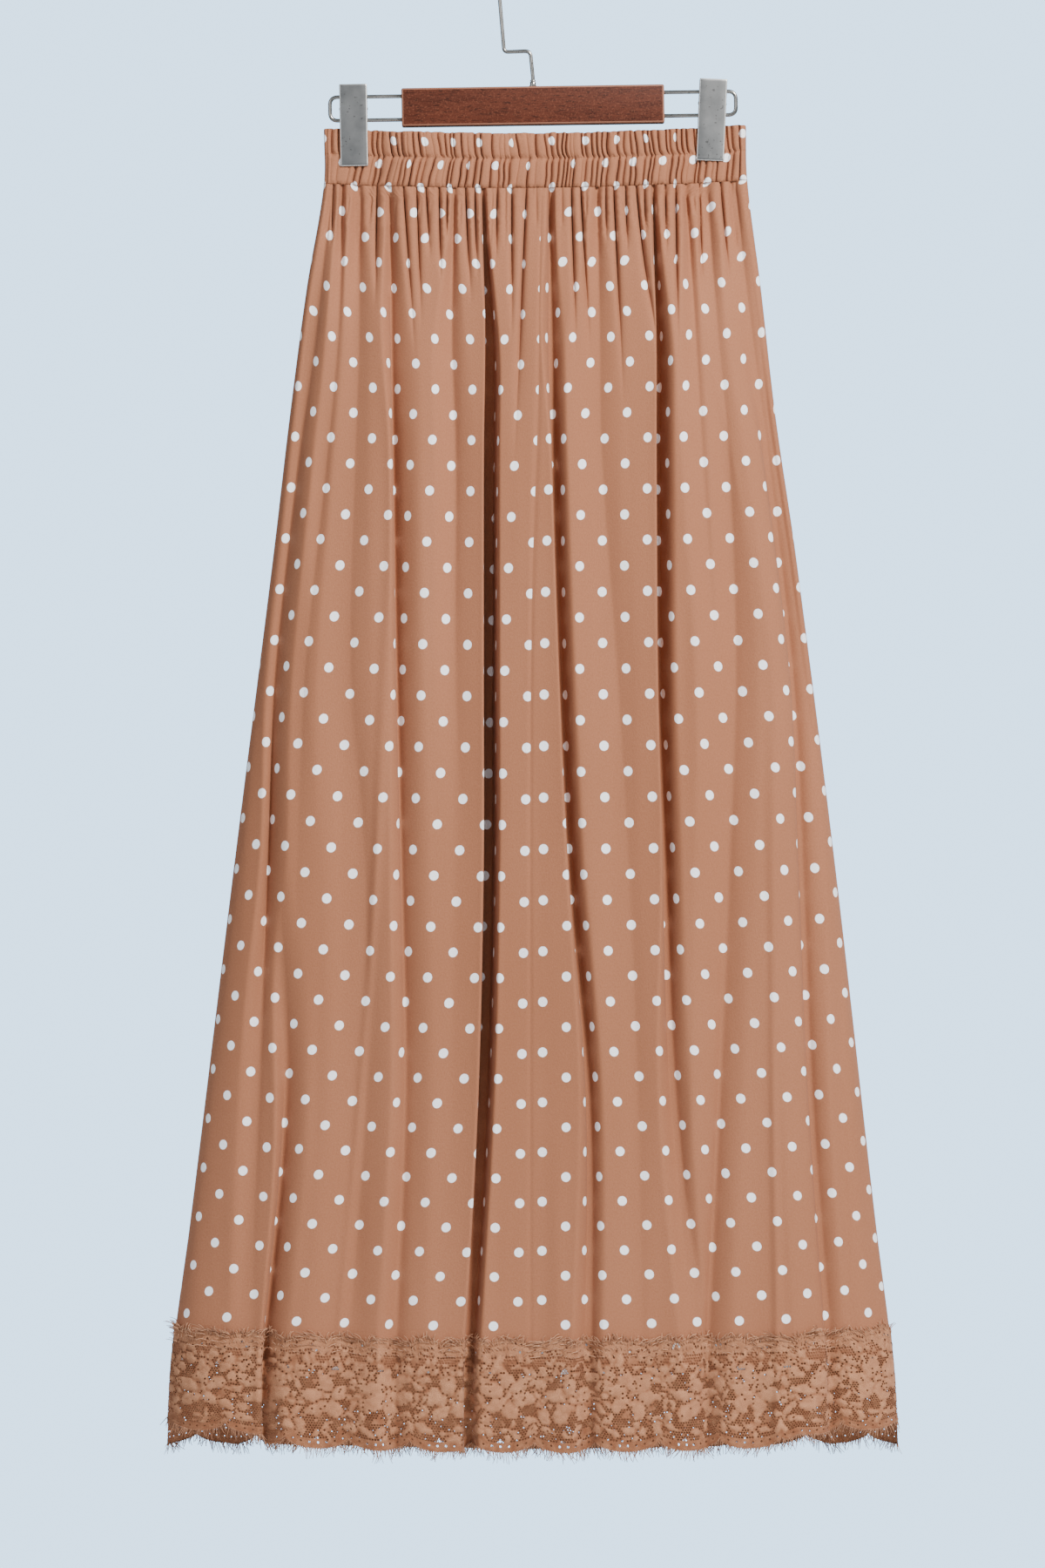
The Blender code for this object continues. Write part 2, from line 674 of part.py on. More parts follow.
def build_bar_and_rods():
    hanger = add_empty("hanger_frame", (0, 0, BAR_HEIGHT_Z), -HANGER_TILT)
    bar = box("hanger_bar", BAR_SIZE, (0, 0, 0), hanger, wood_material, BAR_BEVEL)
    bar_end = BAR_SIZE[0] / 2
    for side_name, side in (("left", -1), ("right", 1)):
        for level_name, level in (("upper", 1), ("lower", -1)):
            socket = cylinder(
                f"socket_{side_name}_{level_name}", WIRE_RADIUS + FIT_GAP,
                2 * ROD_SOCKET_DEPTH, (side * bar_end, 0, level * ROD_SPACING / 2),
                hanger, collection=cutter_collection)
            cut(bar, socket)
        start = side * (bar_end - ROD_SOCKET_DEPTH + FIT_GAP)
        level = ROD_SPACING / 2
        end = side * ROD_REACH
        corners = [Vector((start, 0, level)), Vector((end, 0, level)),
                   Vector((end, 0, -level)), Vector((start, 0, -level))]
        radii = (ROD_CORNER_RADIUS, ROD_CORNER_RADIUS)
        wire(f"rod_{side_name}", rounded_path(corners, radii), hanger)
    stem = cylinder("socket_stem", WIRE_RADIUS + FIT_GAP, 2 * STEM_SOCKET_DEPTH,
                    (0, 0, BAR_SIZE[2] / 2), hanger, along="Z", collection=cutter_collection)
    cut(bar, stem)


def build_hook():
    bend_centre = Vector((0, 0, WIRE_RADIUS - HOOK_BEND_RADIUS))
    stem_foot = BAR_HEIGHT_Z + BAR_SIZE[2] / 2 - STEM_SOCKET_DEPTH + FIT_GAP
    corners = [Vector((0, 0, stem_foot)), Vector((0, 0, -0.1065)), Vector((-0.0020, 0, -0.0862)),
               Vector((-0.0218, 0, -0.0870)), bend_centre + Vector((-HOOK_BEND_RADIUS, 0, 0))]
    path = rounded_path(corners, (12 * MM, 4.5 * MM, 3.5 * MM))
    steps = 13
    for i in range(1, steps + 1):
        angle = math.pi + (HOOK_TIP_ANGLE - math.pi) * i / steps
        path.append(bend_centre + HOOK_BEND_RADIUS * Vector((math.cos(angle), 0, math.sin(angle))))
    wire("hook", path)


def build_ferrule():
    """Small turned collar where the stem enters the bar."""
    bore, rim, height, chamfer = WIRE_RADIUS + FIT_GAP, 2.8 * MM, 5.0 * MM, 0.7 * MM
    profile = [(rim - chamfer, height), (rim, height - chamfer), (rim, 0.0), (bore, 0.0),
               (bore, height)]
    mesh = bpy.data.meshes.new("ferrule")
    builder = bmesh.new()
    points = [builder.verts.new((x, 0, z)) for x, z in profile]
    for a, b in zip(points, points[1:] + points[:1]):
        builder.edges.new((a, b))
    builder.to_mesh(mesh)
    builder.free()
    item = add_object("ferrule", mesh, wire_material)
    item.location = (0, 0, BAR_HEIGHT_Z + BAR_SIZE[2] / 2 + FIT_GAP)
    screw = item.modifiers.new("turn", "SCREW")
    screw.steps = 12
    screw.render_steps = 12
    screw.use_merge_vertices = True
    screw.merge_threshold = 0.00001


def build_clip(side_name, side):
    """Folded face with two cheeks round the rods, a back jaw, its pin and a leaf spring."""
    width, height = CLIP_SIZE
    rod_level = CLIP_X * math.tan(HANGER_TILT) * side + BAR_HEIGHT_Z
    clip = add_empty(f"clip_{side_name}_frame", (side * CLIP_X, 0, rod_level),
                     CLIP_LEAN[side_name])
    middle = CLIP_Z - BAR_HEIGHT_Z
    top = middle + height / 2
    cheek_depth = 7.4 * MM
    depth = CLIP_SHEET + cheek_depth
    face_y = -CLIP_JAW_Y - CLIP_SHEET
    face = box(f"clip_{side_name}_face", (width, depth, height),
               (0, face_y + depth / 2, middle), clip, clip_material, 0.45 * MM)
    hollow = box(f"clip_{side_name}_hollow", (width - 2 * CLIP_SHEET, depth, 2 * height),
                 (0, face_y + depth / 2 + CLIP_SHEET, middle), clip,
                 collection=cutter_collection)
    cut(face, hollow)
    below_cheeks = box(f"clip_{side_name}_below_cheeks", (2 * width, depth, height),
                       (0, face_y + depth / 2 + CLIP_SHEET, top - CLIP_CHEEK_HEIGHT - height / 2),
                       clip, collection=cutter_collection)
    cut(face, below_cheeks)
    for level_name, level in (("upper", 1), ("lower", -1)):
        hole = cylinder(f"clip_{side_name}_hole_{level_name}", WIRE_RADIUS + CLIP_ROD_PLAY,
                        2 * width, (0, 0, level * ROD_SPACING / 2), clip,
                        collection=cutter_collection)
        cut(face, hole)
    pin_hole = cylinder(f"clip_{side_name}_pin_hole", PIN_RADIUS + FIT_GAP, 2 * width,
                        (0, PIN_Y, 0), clip, collection=cutter_collection)
    cut(face, pin_hole)
    cylinder(f"clip_{side_name}_pin", PIN_RADIUS, width + 0.8 * MM, (0, PIN_Y, 0), clip,
             material=clip_material)

    jaw_width = width - 2 * CLIP_SHEET - 2 * FIT_GAP
    box(f"clip_{side_name}_jaw", (jaw_width, CLIP_SHEET, height - 1.5 * MM),
        (0, CLIP_JAW_Y + CLIP_SHEET / 2, middle), clip, clip_material, 0.4 * MM)
    build_spring(side_name, clip, top)


def build_spring(side_name, clip, clip_top):
    """Leaf spring: a strip bent to a U that holds the tops of face and jaw apart."""
    reach = CLIP_JAW_Y - FIT_GAP
    foot = 4.2 * MM
    outer =[(-reach, clip_top - 0.8 * MM), (-reach, clip_top - foot)]
    bend = 5
    for i in range(bend + 1):
        angle = math.pi + math.pi * i / bend
        outer.append((reach * math.cos(angle),
                      clip_top - foot + 0.55 * reach * math.sin(angle)))
    outer.append((reach, clip_top - 2.0 * MM))
    inner = [(y * (1 - SPRING_SHEET / reach), z + (SPRING_SHEET if z < clip_top - foot else 0))
             for y, z in outer]
    mesh = bpy.data.meshes.new(f"clip_{side_name}_spring")
    builder = bmesh.new()
    sides = []
    for x in (-SPRING_WIDTH / 2, SPRING_WIDTH / 2):
        sides.append([[builder.verts.new((x, y, z)) for y, z in line] for line in (outer, inner)])
    (near_out, near_in), (far_out, far_in) = sides
    for k in range(len(outer) - 1):
        builder.faces.new((near_out[k], near_out[k + 1], far_out[k + 1], far_out[k]))
        builder.faces.new((near_in[k], far_in[k], far_in[k + 1], near_in[k + 1]))
        builder.faces.new((near_out[k], near_in[k], near_in[k + 1], near_out[k + 1]))
        builder.faces.new((far_out[k], far_out[k + 1], far_in[k + 1], far_in[k]))
    for k in (0, len(outer) - 1):
        builder.faces.new((near_out[k], far_out[k], far_in[k], near_in[k]))
    bmesh.ops.remove_doubles(builder, verts=builder.verts, dist=0.000001)
    bmesh.ops.recalc_face_normals(builder, faces=builder.faces)
    builder.to_mesh(mesh)
    builder.free()
    spring = add_object(f"clip_{side_name}_spring", mesh, clip_material)
    spring.parent = clip


build_hook()
build_ferrule()
build_bar_and_rods()
build_clip("left", -1)
build_clip("right", 1)
build_waistband()
build_front_panels()
build_back_panel()
build_lace("hem_lace_front", FRONT_FOLDS, FRONT)
build_lace("hem_lace_back", BACK_FOLDS, BACK)
build_lashes("lash_front", FRONT_FOLDS, FRONT, seed=11)
build_lashes("lash_back", BACK_FOLDS, BACK, seed=12)
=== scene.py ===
"""Maxi skirt on a clip hanger: gathered dotted cloth, shirred waist and a scalloped lace hem.

Metres, +Z up. The front faces -Y. The origin is the hang point, at the inner top of the
hook. Tables are in millimetres and name their columns.
"""
import math
from collections import namedtuple
from itertools import product

import bmesh
import bpy
import numpy as np
from mathutils import Matrix, Vector


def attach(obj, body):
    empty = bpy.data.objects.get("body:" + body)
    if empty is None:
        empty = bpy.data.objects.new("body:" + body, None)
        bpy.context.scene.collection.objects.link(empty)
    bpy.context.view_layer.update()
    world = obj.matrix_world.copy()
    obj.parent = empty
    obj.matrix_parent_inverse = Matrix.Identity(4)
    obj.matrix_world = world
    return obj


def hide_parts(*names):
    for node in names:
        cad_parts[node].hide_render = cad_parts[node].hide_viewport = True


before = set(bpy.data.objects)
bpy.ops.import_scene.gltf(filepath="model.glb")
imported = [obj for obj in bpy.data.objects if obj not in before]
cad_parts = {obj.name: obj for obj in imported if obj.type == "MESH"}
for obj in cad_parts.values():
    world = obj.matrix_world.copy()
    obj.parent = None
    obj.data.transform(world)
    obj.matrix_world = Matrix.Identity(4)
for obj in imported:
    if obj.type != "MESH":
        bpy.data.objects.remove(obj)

MM = 0.001
FRONT, BACK = -1.0, 1.0
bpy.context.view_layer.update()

# ---------------------------------------------------------------- the skirt's own shape

Section = namedtuple("Section", "height left right front_depth back_depth roundness middle_drop")
SECTIONS = [Section(*row) for row in (
    (-144.5, -158.5, 161.5, 10.0, 10.0, 10.0, 5.3),
    (-186.0, -158.5, 162.5, 12.0, 12.0, 8.0, 5.3),
    (-265.0, -171.5, 172.5, 21.0, 20.0, 6.0, 5.0),
    (-364.0, -184.5, 184.0, 30.0, 28.0, 4.5, 4.5),
    (-470.0, -197.0, 199.5, 36.0, 33.0, 4.0, 4.5),
    (-707.0, -227.0, 229.5, 43.0, 40.0, 4.0, 5.5),
    (-971.0, -259.5, 259.5, 47.0, 45.0, 4.0, 7.0),
    (-1076.0, -273.5, 272.5, 50.0, 48.0, 4.0, 8.0),
    (-1132.0, -276.5, 276.0, 51.0, 49.0, 4.0, 8.0),
)]
BAND_TOP = -0.1445
BAND_HEIGHT = 0.041
BAND_FOOT = BAND_TOP - BAND_HEIGHT
PANEL_TOP = BAND_FOOT - 0.2 * MM
PANEL_FOOT = -1.076
LACE_TOP = -1.054
LACE_FOOT = -1.131
SCALLOP_WIDTH = 0.046
SCALLOP_DEPTH = 0.008
WAIST_TILT = 0.0083
WAIST_TILT_ENDS = -0.400
# A clip presses the cloth flat: how far to each side, how thin, and between which heights
CLIP_X = 0.136
GRIP_REACH = (12 * MM, 40 * MM)
GRIPPED_DEPTH = 4.6 * MM
GRIP_FADES = (-0.176, -0.300)

# Folds of the cloth: how wide the runs of cloth are that fall into each valley from its
# left, lie at its foot and rise to its right, then where the valley's left lip is and how
# deep it is at seven heights. A fold of negative depth is a raised crease.
FOLD_HEIGHTS = (-0.190, -0.300, -0.391, -0.560, -0.700, -0.872, -1.076)
Fold = namedtuple("Fold", "name left_width foot_width right_width x depth")
FRONT_FOLDS = [Fold(*row) for row in (
    ("left_side", 5, 0, 18, (-153, -164, -176, -194, -200, -206, -214), (2, 6, 9, 11, 12, 6, 2)),
    ("left_side_low", 4, 2, 18, (-151, -163, -175, -191, -193, -187, -205), (0, 0, 0, 0, 1, 10, 14)),
    ("clip_left", 5, 0, 14, (-144, -147, -155, -172, -177, -181, -185), (6, 6, 5, 3, 1, 0, 0)),
    ("left_soft", 9, 2, 20, (-132, -133, -136, -139, -128, -128, -142), (7, 6, 5, 4, 4, 4, 4)),
    ("left_pleat", 5, 1, 22, (-108, -107, -106, -103, -99, -96, -104), (6, 11, 14, 13, 11, 10, 8)),
    ("left_inner", 5, 0, 12, (-59, -61, -58, -58, -52, -51, -51), (6, 6, 5, 2, 0, 0, 0)),
    ("left_deep", 4, 8, 5, (-38, -37, -38, -38, -38, -42, -53), (8, 18, 28, 31, 30, 24, 14)),
    ("centre_seam", 2, 0, 2, (6.6, 3, 1, -1.6, -2, -2, -2), (1.0, 1.0, 1.0, 1.0, 1.0, 1.0, 1.0)),
    ("right_of_seam", 4, 4, 10, (14, 12, 13.5, 19, 26, 40, 40), (6, 11, 15, 16, 15, 12, 8)),
    ("right_soft", 9, 0, 18, (49, 50.5, 52, 64, 72, 79, 83), (7, 6, 5, 4, 3, 3, 2)),
    ("right_deep", 4, 4, 12, (91, 92, 92, 93, 97, 104, 125), (8, 17, 22, 20, 15, 9, 5)),
    ("clip_right", 5, 0, 14, (116, 123, 128, 138, 140, 142, 143), (6, 6, 5, 3, 1, 0, 0)),
    ("right_outer", 9, 0, 20, (132, 140, 148, 153, 148, 141, 131), (5, 6, 7, 7, 8, 10, 10)),
    ("right_side", 12, 2, 22, (153, 164, 176, 195, 202, 209, 224), (3, 8, 11, 13, 12, 12, 11)),
    ("right_edge", 6, 0, 12, (157, 169, 182, 209, 230, 233, 241), (0, 0, 0, 0, 1, 4, 3)),
    ("left_crease", 3.2, 0, 5, (-118, -118, -112, -114, -118, -130, -148),
     (0, 0, -1.0, -1.7, -1.8, -1.6, -1.3)),
    ("right_crease", 3.2, 0, 5, (150, 160, 170, 177, 180, 181, 184),
     (0, 0, 0, -1.0, -1.9, -2.3, -2.4)),
)]
BACK_FOLDS = [Fold(*row) for row in (
    ("left_side", 6, 0, 14, (-148, -161, -172, -186, -198, -208, -224), (3, 6, 9, 11, 11, 10, 10)),
    ("left_soft", 7, 0, 12, (-112, -118, -122, -128, -133, -140, -150), (7, 7, 7, 4, 3, 2, 1)),
    ("left_deep", 5, 0, 14, (-78, -81, -84, -92, -98, -103, -112), (8, 11, 13, 14, 14, 12, 9)),
    ("left_inner", 7, 0, 10, (-38, -40, -42, -42, -41, -40, -34), (7, 7, 6, 4, 2, 1, 0)),
    ("middle", 12, 0, 6, (-6, -4, -2, 3, 8, 13, 22), (7, 9, 11, 12, 13, 12, 9)),
    ("right_inner", 7, 0, 12, (32, 36, 40, 47, 54, 62, 74), (7, 7, 6, 4, 3, 2, 1)),
    ("right_deep", 5, 0, 15, (76, 80, 84, 93, 101, 110, 124), (8, 11, 14, 15, 14, 12, 8)),
    ("right_soft", 7, 0, 12, (112, 118, 124, 135, 145, 154, 168), (7, 7, 7, 6, 6, 7, 7)),
    ("right_side", 12, 0, 7, (148, 160, 172, 188, 200, 212, 228), (3, 6, 9, 11, 11, 10, 9)),
)]
CENTRE_SEAM = next(fold for fold in FRONT_FOLDS if fold.name == "centre_seam")
OVERHANG = 0.9 * MM
# Shallow folds are broad and soft, deep ones sharp
SOFT_DEPTH, SHARP_DEPTH = 5 * MM, 17 * MM
SOFT_WIDENING = 2.4
LIP_REACH = 14 * MM
# How much the cloth swells beside a fold, and over what reach
CREST_SHARE = 0.19
CREST_REACH = 20 * MM
# Deepest that folds may go, as a share of the skirt's depth
DEEPEST_SHARE = 0.80
# Share of its width that a fold has at the stitch line, and how far down it is fully open
FOLD_AT_STITCH = 0.22
FOLD_OPEN_BY = 0.150
# Low waves all over the cloth: height, width and length, and whether they fade in below the waist
CLOTH_WAVES = ((3.3, 46, 500, True), (1.3, 21, 260, True), (0.40, 9.5, 110, False))
WAVES_FADE_IN = 0.09

# Small gathers below the waist's lower stitch line: valley at the line, valley at
# GATHER_LOWER, and the height at which it has opened out
GATHER_LOWER = -0.300
Gather = namedtuple("Gather", "waist_x lower_x ends depth")
FRONT_GATHERS = [Gather(*row) for row in (
    (-151, -155, -235, 4.0), (-118, -120, -285, 4.5), (-98, -90, -325, 4.2), (-88, -84, -300, 4.0),
    (-81, -74, -245, 4.0), (-71, -69, -265, 4.5), (-65, -66, -232, 3.5), (-51, -47, -280, 4.5),
    (-44, -44, -260, 4.5), (-27, -29, -245, 4.0), (-16, -16, -310, 4.5), (-5, -10, -415, 4.0),
    (12, 12, -245, 4.0), (29, 32, -330, 4.5), (36, 42, -325, 4.5), (55, 56, -232, 3.5),
    (61, 66, -365, 4.5), (70, 73, -240, 4.0), (78, 88, -340, 4.5), (84, 86, -230, 3.5),
    (100, 102, -245, 4.0), (108, 109, -330, 5.0), (126, 129, -280, 4.0), (142, 152, -275, 4.0),
    (150, 160, -245, 3.5),
)]
GATHER_WIDTH = 0.60 * MM
GATHER_DEPTH = 1.6 * MM


def random_gathers(left, right, pitch, ends, depths, seed):
    rng = np.random.default_rng(seed)
    gathers, x = [], left
    while x < right:
        gathers.append(Gather(x, x * 1.07 + rng.uniform(-2, 2), rng.choice(ends), rng.uniform(*depths)))
        x += pitch * rng.uniform(0.65, 1.45)
    return gathers


BACK_GATHERS = random_gathers(-150, 152, 10.0, (-240, -275, -330, -380), (3.5, 5.0), 5)
FRONT_GATHERS += random_gathers(-152, 155, 9.0, (-206, -220, -240), (0.6, 1.3), 7)


def through(stations, values, at):
    """Values at the heights in at, on a smooth curve through the stations, which run down."""
    s, v = np.asarray(stations, float), np.asarray(values, float)
    last = len(s) - 1
    at = np.clip(at, s[-1], s[0])
    k = np.clip(np.searchsorted(-s, -at, side="right") - 1, 0, last - 1)
    before = np.maximum(np.arange(last + 1) - 1, 0)
    after = np.minimum(np.arange(last + 1) + 1, last)
    slope = (v[after] - v[before]) / (s[after] - s[before])
    span = s[k + 1] - s[k]
    t = (at - s[k]) / span
    start = (1 + 2 * t) * (1 - t) ** 2 * v[k] + t * (1 - t) ** 2 * span * slope[k]
    return start + t * t * (3 - 2 * t) * v[k + 1] + t * t * (t - 1) * span * slope[k + 1]


def ramp(at, start, end):
    """Smooth step: 0 at start, 1 at end."""
    t = np.clip((at - start) / (end - start), 0.0, 1.0)
    return t * t * (3 - 2 * t)


def section(column, height):
    stations = [row.height * MM for row in SECTIONS]
    return through(stations, [getattr(row, column) for row in SECTIONS], height)


def outline(height):
    """Middle and half width of the skirt at a height."""
    left, right = section("left", height) * MM, section("right", height) * MM
    return (left + right) / 2, (right - left) / 2


def inside_sides(height, x, reach):
    """0 at the skirt's sides, rising to 1 at this reach from them."""
    middle, half = outline(height)
    return ramp(half - np.abs(x - middle), 0, reach)


def near_clip(x):
    return 1 - ramp(np.abs(np.abs(x) - CLIP_X), *GRIP_REACH)


def half_depth(height, x, side):
    """How far the cloth stands in front of (or behind) the middle plane, with no folds."""
    middle, half = outline(height)
    share = np.clip(np.abs((x - middle) / half), 0, 1)
    depth = section("front_depth" if side == FRONT else "back_depth", height) * MM
    free = depth * np.sqrt(np.maximum(1 - share ** section("roundness", height), 0))
    grip = near_clip(x) * (1 - ramp(height, *GRIP_FADES))
    return free + grip * (np.minimum(free, GRIPPED_DEPTH) - free)


def hung_height(height, x):
    """Height of a point of a ring: the middle hangs lower, and the waist tilts a little."""
    middle, half = outline(height)
    share = (x - middle) / half
    tilt = WAIST_TILT * (1 - ramp(height, BAND_FOOT, WAIST_TILT_ENDS))
    drop = section("middle_drop", height) * MM * np.maximum(1 - share * share, 0)
    return height - drop + tilt * x


def soft_noise(u, v, seed):
    """Smooth random surface between -1 and 1, with cells one unit wide."""
    cells = 64
    lattice = np.random.default_rng(seed).uniform(-1, 1, (cells, cells))
    i, j = np.floor(u).astype(int), np.floor(v).astype(int)
    s, t = u - i, v - j
    s, t = s * s * (3 - 2 * s), t * t * (3 - 2 * t)
    i, j, i1, j1 = i % cells, j % cells, (i + 1) % cells, (j + 1) % cells
    upper = lattice[i, j] * (1 - s) + lattice[i1, j] * s
    lower = lattice[i, j1] * (1 - s) + lattice[i1, j1] * s
    return upper * (1 - t) + lower * t


# ---------------------------------------------------------------- cloth walls

FINE = 1600
WALL_ROWS = 150
PANEL_COLUMNS = {FRONT: 410, BACK: 420}


def blurred(field, spread, reach, mode="edge"):
    """Each row of the field, blurred along the row."""
    kernel = np.exp(-0.5 * (np.arange(-reach, reach + 1) / spread) ** 2)
    kernel /= kernel.sum()
    padded = np.pad(field, ((0, 0), (reach, reach)), mode=mode)
    return np.array([np.convolve(row, kernel, mode="valid") for row in padded])


def slit(distance, width):
    """A narrow gather: a sharp slit between rounded shoulders, 1 at its middle."""
    return 0.72 * np.exp(-(distance / width) ** 1.3) + 0.28 * np.exp(-(distance / (3 * width)) ** 2)


def pushed_in(q, height, folds, gathers, seed):
    """How far each point of the cloth is pushed in, and how far lips lean over sideways."""
    valleys, crests, lean = np.zeros_like(q), np.zeros_like(q), np.zeros_like(q)
    below = BAND_FOOT - height
    opened = FOLD_AT_STITCH + (1 - FOLD_AT_STITCH) * ramp(below, 0, FOLD_OPEN_BY)
    for fold in folds:
        d = q - through(FOLD_HEIGHTS, fold.x, height) * MM
        depth = through(FOLD_HEIGHTS, fold.depth, height) * MM
        left, right = fold.left_width * MM * opened, fold.right_width * MM * opened
        deep = np.maximum(depth, 0)
        crests += np.minimum(depth, 0) * np.exp(-(d / left) ** 2)
        if fold is CENTRE_SEAM:
            valleys += (deep * (1 - ramp(np.abs(d), 0, left))) ** 4
            continue
        strong = ramp(deep, SOFT_DEPTH, SHARP_DEPTH)
        broad = left * (1 + SOFT_WIDENING * (1 - strong))
        rise = np.clip((d - fold.foot_width * MM * opened) / right, 0, 1)
        wall = np.where(d < 0, 1 - ramp(-d, 0, broad), (1 - rise) ** 1.8)
        valleys += (deep * wall) ** 4
        swell = np.clip(1 + (d + broad) / CREST_REACH, 0, 1) ** 2 * (d < -broad)
        swell += (1 - ramp(d, -broad, 0)) * (d >= -broad)
        crests -= CREST_SHARE * deep * swell
        lip = np.where(d > -left, ramp(-d, 0, left), 1 - ramp(-d - left, 0, LIP_REACH))
        lean += strong * (left + OVERHANG) * lip * (d < 0)
    small = np.zeros_like(q)
    for gather in gathers:
        slope = (gather.lower_x - gather.waist_x) / (GATHER_LOWER - BAND_FOOT) * MM
        d = np.abs(q - gather.waist_x * MM - slope * (height - BAND_FOOT))
        fade = 1 - ramp(height, BAND_FOOT - 0.020, gather.ends * MM)
        small += (GATHER_DEPTH * gather.depth * fade * slit(d, GATHER_WIDTH * (1 + 8 * below))) ** 3
    waves = np.zeros_like(q)
    for k, (size, width, length, fades) in enumerate(CLOTH_WAVES):
        shown = ramp(below, 0, WAVES_FADE_IN) if fades else 1.0
        waves += shown * size * MM * soft_noise(q / (width * MM), height / (length * MM), seed + k)
    pucker = np.exp(-below / (5 * MM))
    small = np.cbrt(small) + 0.9 * MM * pucker * soft_noise(q / (1.6 * MM), height / 0.03, seed + 3)
    return blurred(valleys ** 0.25 + crests + waves, 2.6, 7) + small, blurred(lean, 2.0, 6)


def ring_places(height):
    """Fine rows of places across the skirt at these heights, closest at the sides."""
    middle, half = outline(height)
    share = np.sin(np.linspace(-0.5, 0.5, FINE) * math.pi) * 0.3 + np.linspace(-1, 1, FINE) * 0.7
    return middle + half * share[None, :]


def cloth_rows(heights, side):
    """Fine rows of points of the skirt's front or back at these heights, left to right.

    Returns x, y, z and the place along the straight ring, each as rows by FINE."""
    height = np.asarray(heights, float)[:, None]
    q = ring_places(height)
    if side == FRONT:
        inward, lean = pushed_in(q, height, FRONT_FOLDS, FRONT_GATHERS, 11)
    else:
        inward, lean = pushed_in(q, height, BACK_FOLDS, BACK_GATHERS, 31)
    shown = (0.62 + 0.38 * ramp(BAND_FOOT - height, 0, 12 * MM)) * inside_sides(height, q, 6 * MM)
    depth = half_depth(height, q, side)
    inward = np.minimum(inward * shown, DEEPEST_SHARE * depth)
    return q + lean * shown, side * np.maximum(depth - inward, 0.0), hung_height(height, q), q


def along(x, y):
    """Distance run along each row of points."""
    step = np.hypot(np.diff(x, axis=1), np.diff(y, axis=1))
    return np.concatenate([np.zeros((len(x), 1)), np.cumsum(step, axis=1)], axis=1)


def resample(run, targets, *fields):
    """Each field's rows, read again at the target distances."""
    return [np.array([np.interp(t, r, f) for t, r, f in zip(targets, run, field)]) for field in fields]


def grid_quads(index):
    """Quads between the neighbours of a grid of point numbers."""
    return np.stack([index[:-1, :-1], index[1:, :-1], index[1:, 1:], index[:-1, 1:]], axis=-1).reshape(-1, 4)


def add_object(name, data, material=None):
    item = bpy.data.objects.new(name, data)
    if material:
        data.materials.append(material)
    bpy.context.scene.collection.objects.link(item)
    return item


def set_tone(mesh, domain, values):
    mesh.attributes.new("tone", "FLOAT", domain).data.foreach_set("value", values)


def mesh_object(name, points, faces, material, loop_uv=None, tone=None):
    """Smooth mesh from arrays, with a UV for each face corner and a tone for each point."""
    mesh = bpy.data.meshes.new(name)
    mesh.from_pydata(np.asarray(points).tolist(), [], [list(map(int, face)) for face in faces])
    mesh.shade_smooth()
    if loop_uv is not None:
        mesh.uv_layers.new(name="UVMap").data.foreach_set("uv", np.asarray(loop_uv, float).ravel())
    if tone is not None:
        set_tone(mesh, "POINT", np.asarray(tone, float))
    return add_object(name, mesh, material)


# Width of the front's cloth, in metres: at the waist's stitch line, what the gathers let out
# below it, and what the panels' flare adds down to the hem
CLOTH_AT_WAIST = 0.500
CLOTH_LET_OUT = 0.135
CLOTH_LET_OUT_BY = 0.13
CLOTH_FLARE = 0.030
# The cloth's drape draws its print out a little at the top and in towards the hem
PRINT_RATE = 0.972
PRINT_TURNS = 0.49
PRINT_GAIN = 0.0812
BAND_PRINT_RATE = 1.077
DOT_PITCH = 0.0374
# How each panel was cut from the printed cloth: the print's shift, and its slant to the seam
Print = namedtuple("Print", "u v slant")
LEFT_PRINT = Print(0.0150, 0.0181, 0.0163)
RIGHT_PRINT = Print(0.0065, 0.0194, 0.004)
BACK_PRINT = Print(0.004, 0.004, 0.0)
# The hem's turn, folded up inside: how far in and how far up each row of it lies
HEM_TURN = ((0.0008, 0.0), (0.0014, 0.004), (0.0013, 0.011))


def cloth_width(below):
    return (CLOTH_AT_WAIST + CLOTH_LET_OUT * (1 - np.exp(-below / CLOTH_LET_OUT_BY))
            + CLOTH_FLARE * below / (BAND_FOOT - PANEL_FOOT))


def cloth_uv(run, seam_run, height, full, cut):
    """UV of cloth points: metres from the centre line, and metres below the waist."""
    below = (BAND_FOOT - height)[:, None]
    u = (run - seam_run) * cloth_width(below) / full
    v = PRINT_RATE * below + PRINT_GAIN * np.maximum(below - PRINT_TURNS, 0) ** 2
    return np.stack([u + cut.u + cut.slant * v, np.broadcast_to(v + cut.v, u.shape)], axis=-1)


def wall_heights():
    """Rows from the stitch line to the hem, closer together where the gathers open."""
    t = np.linspace(0, 1, WALL_ROWS)
    return PANEL_TOP - (0.45 * t + 0.55 * t * t) * (PANEL_TOP - PANEL_FOOT)


def turn_hem(points, uv, side):
    """The lower edge folded up inside, as extra rows."""
    rows = [points[-1] + np.array([0, -side * inward, up]) for inward, up in HEM_TURN]
    uv_rows = [uv[-1] + np.array([0, MM + up]) for _, up in HEM_TURN]
    return np.concatenate([points, np.array(rows)]), np.concatenate([uv, np.array(uv_rows)])


# Where each side's print lies along its top row: places along the ring, metres of cloth
waist_print = {}


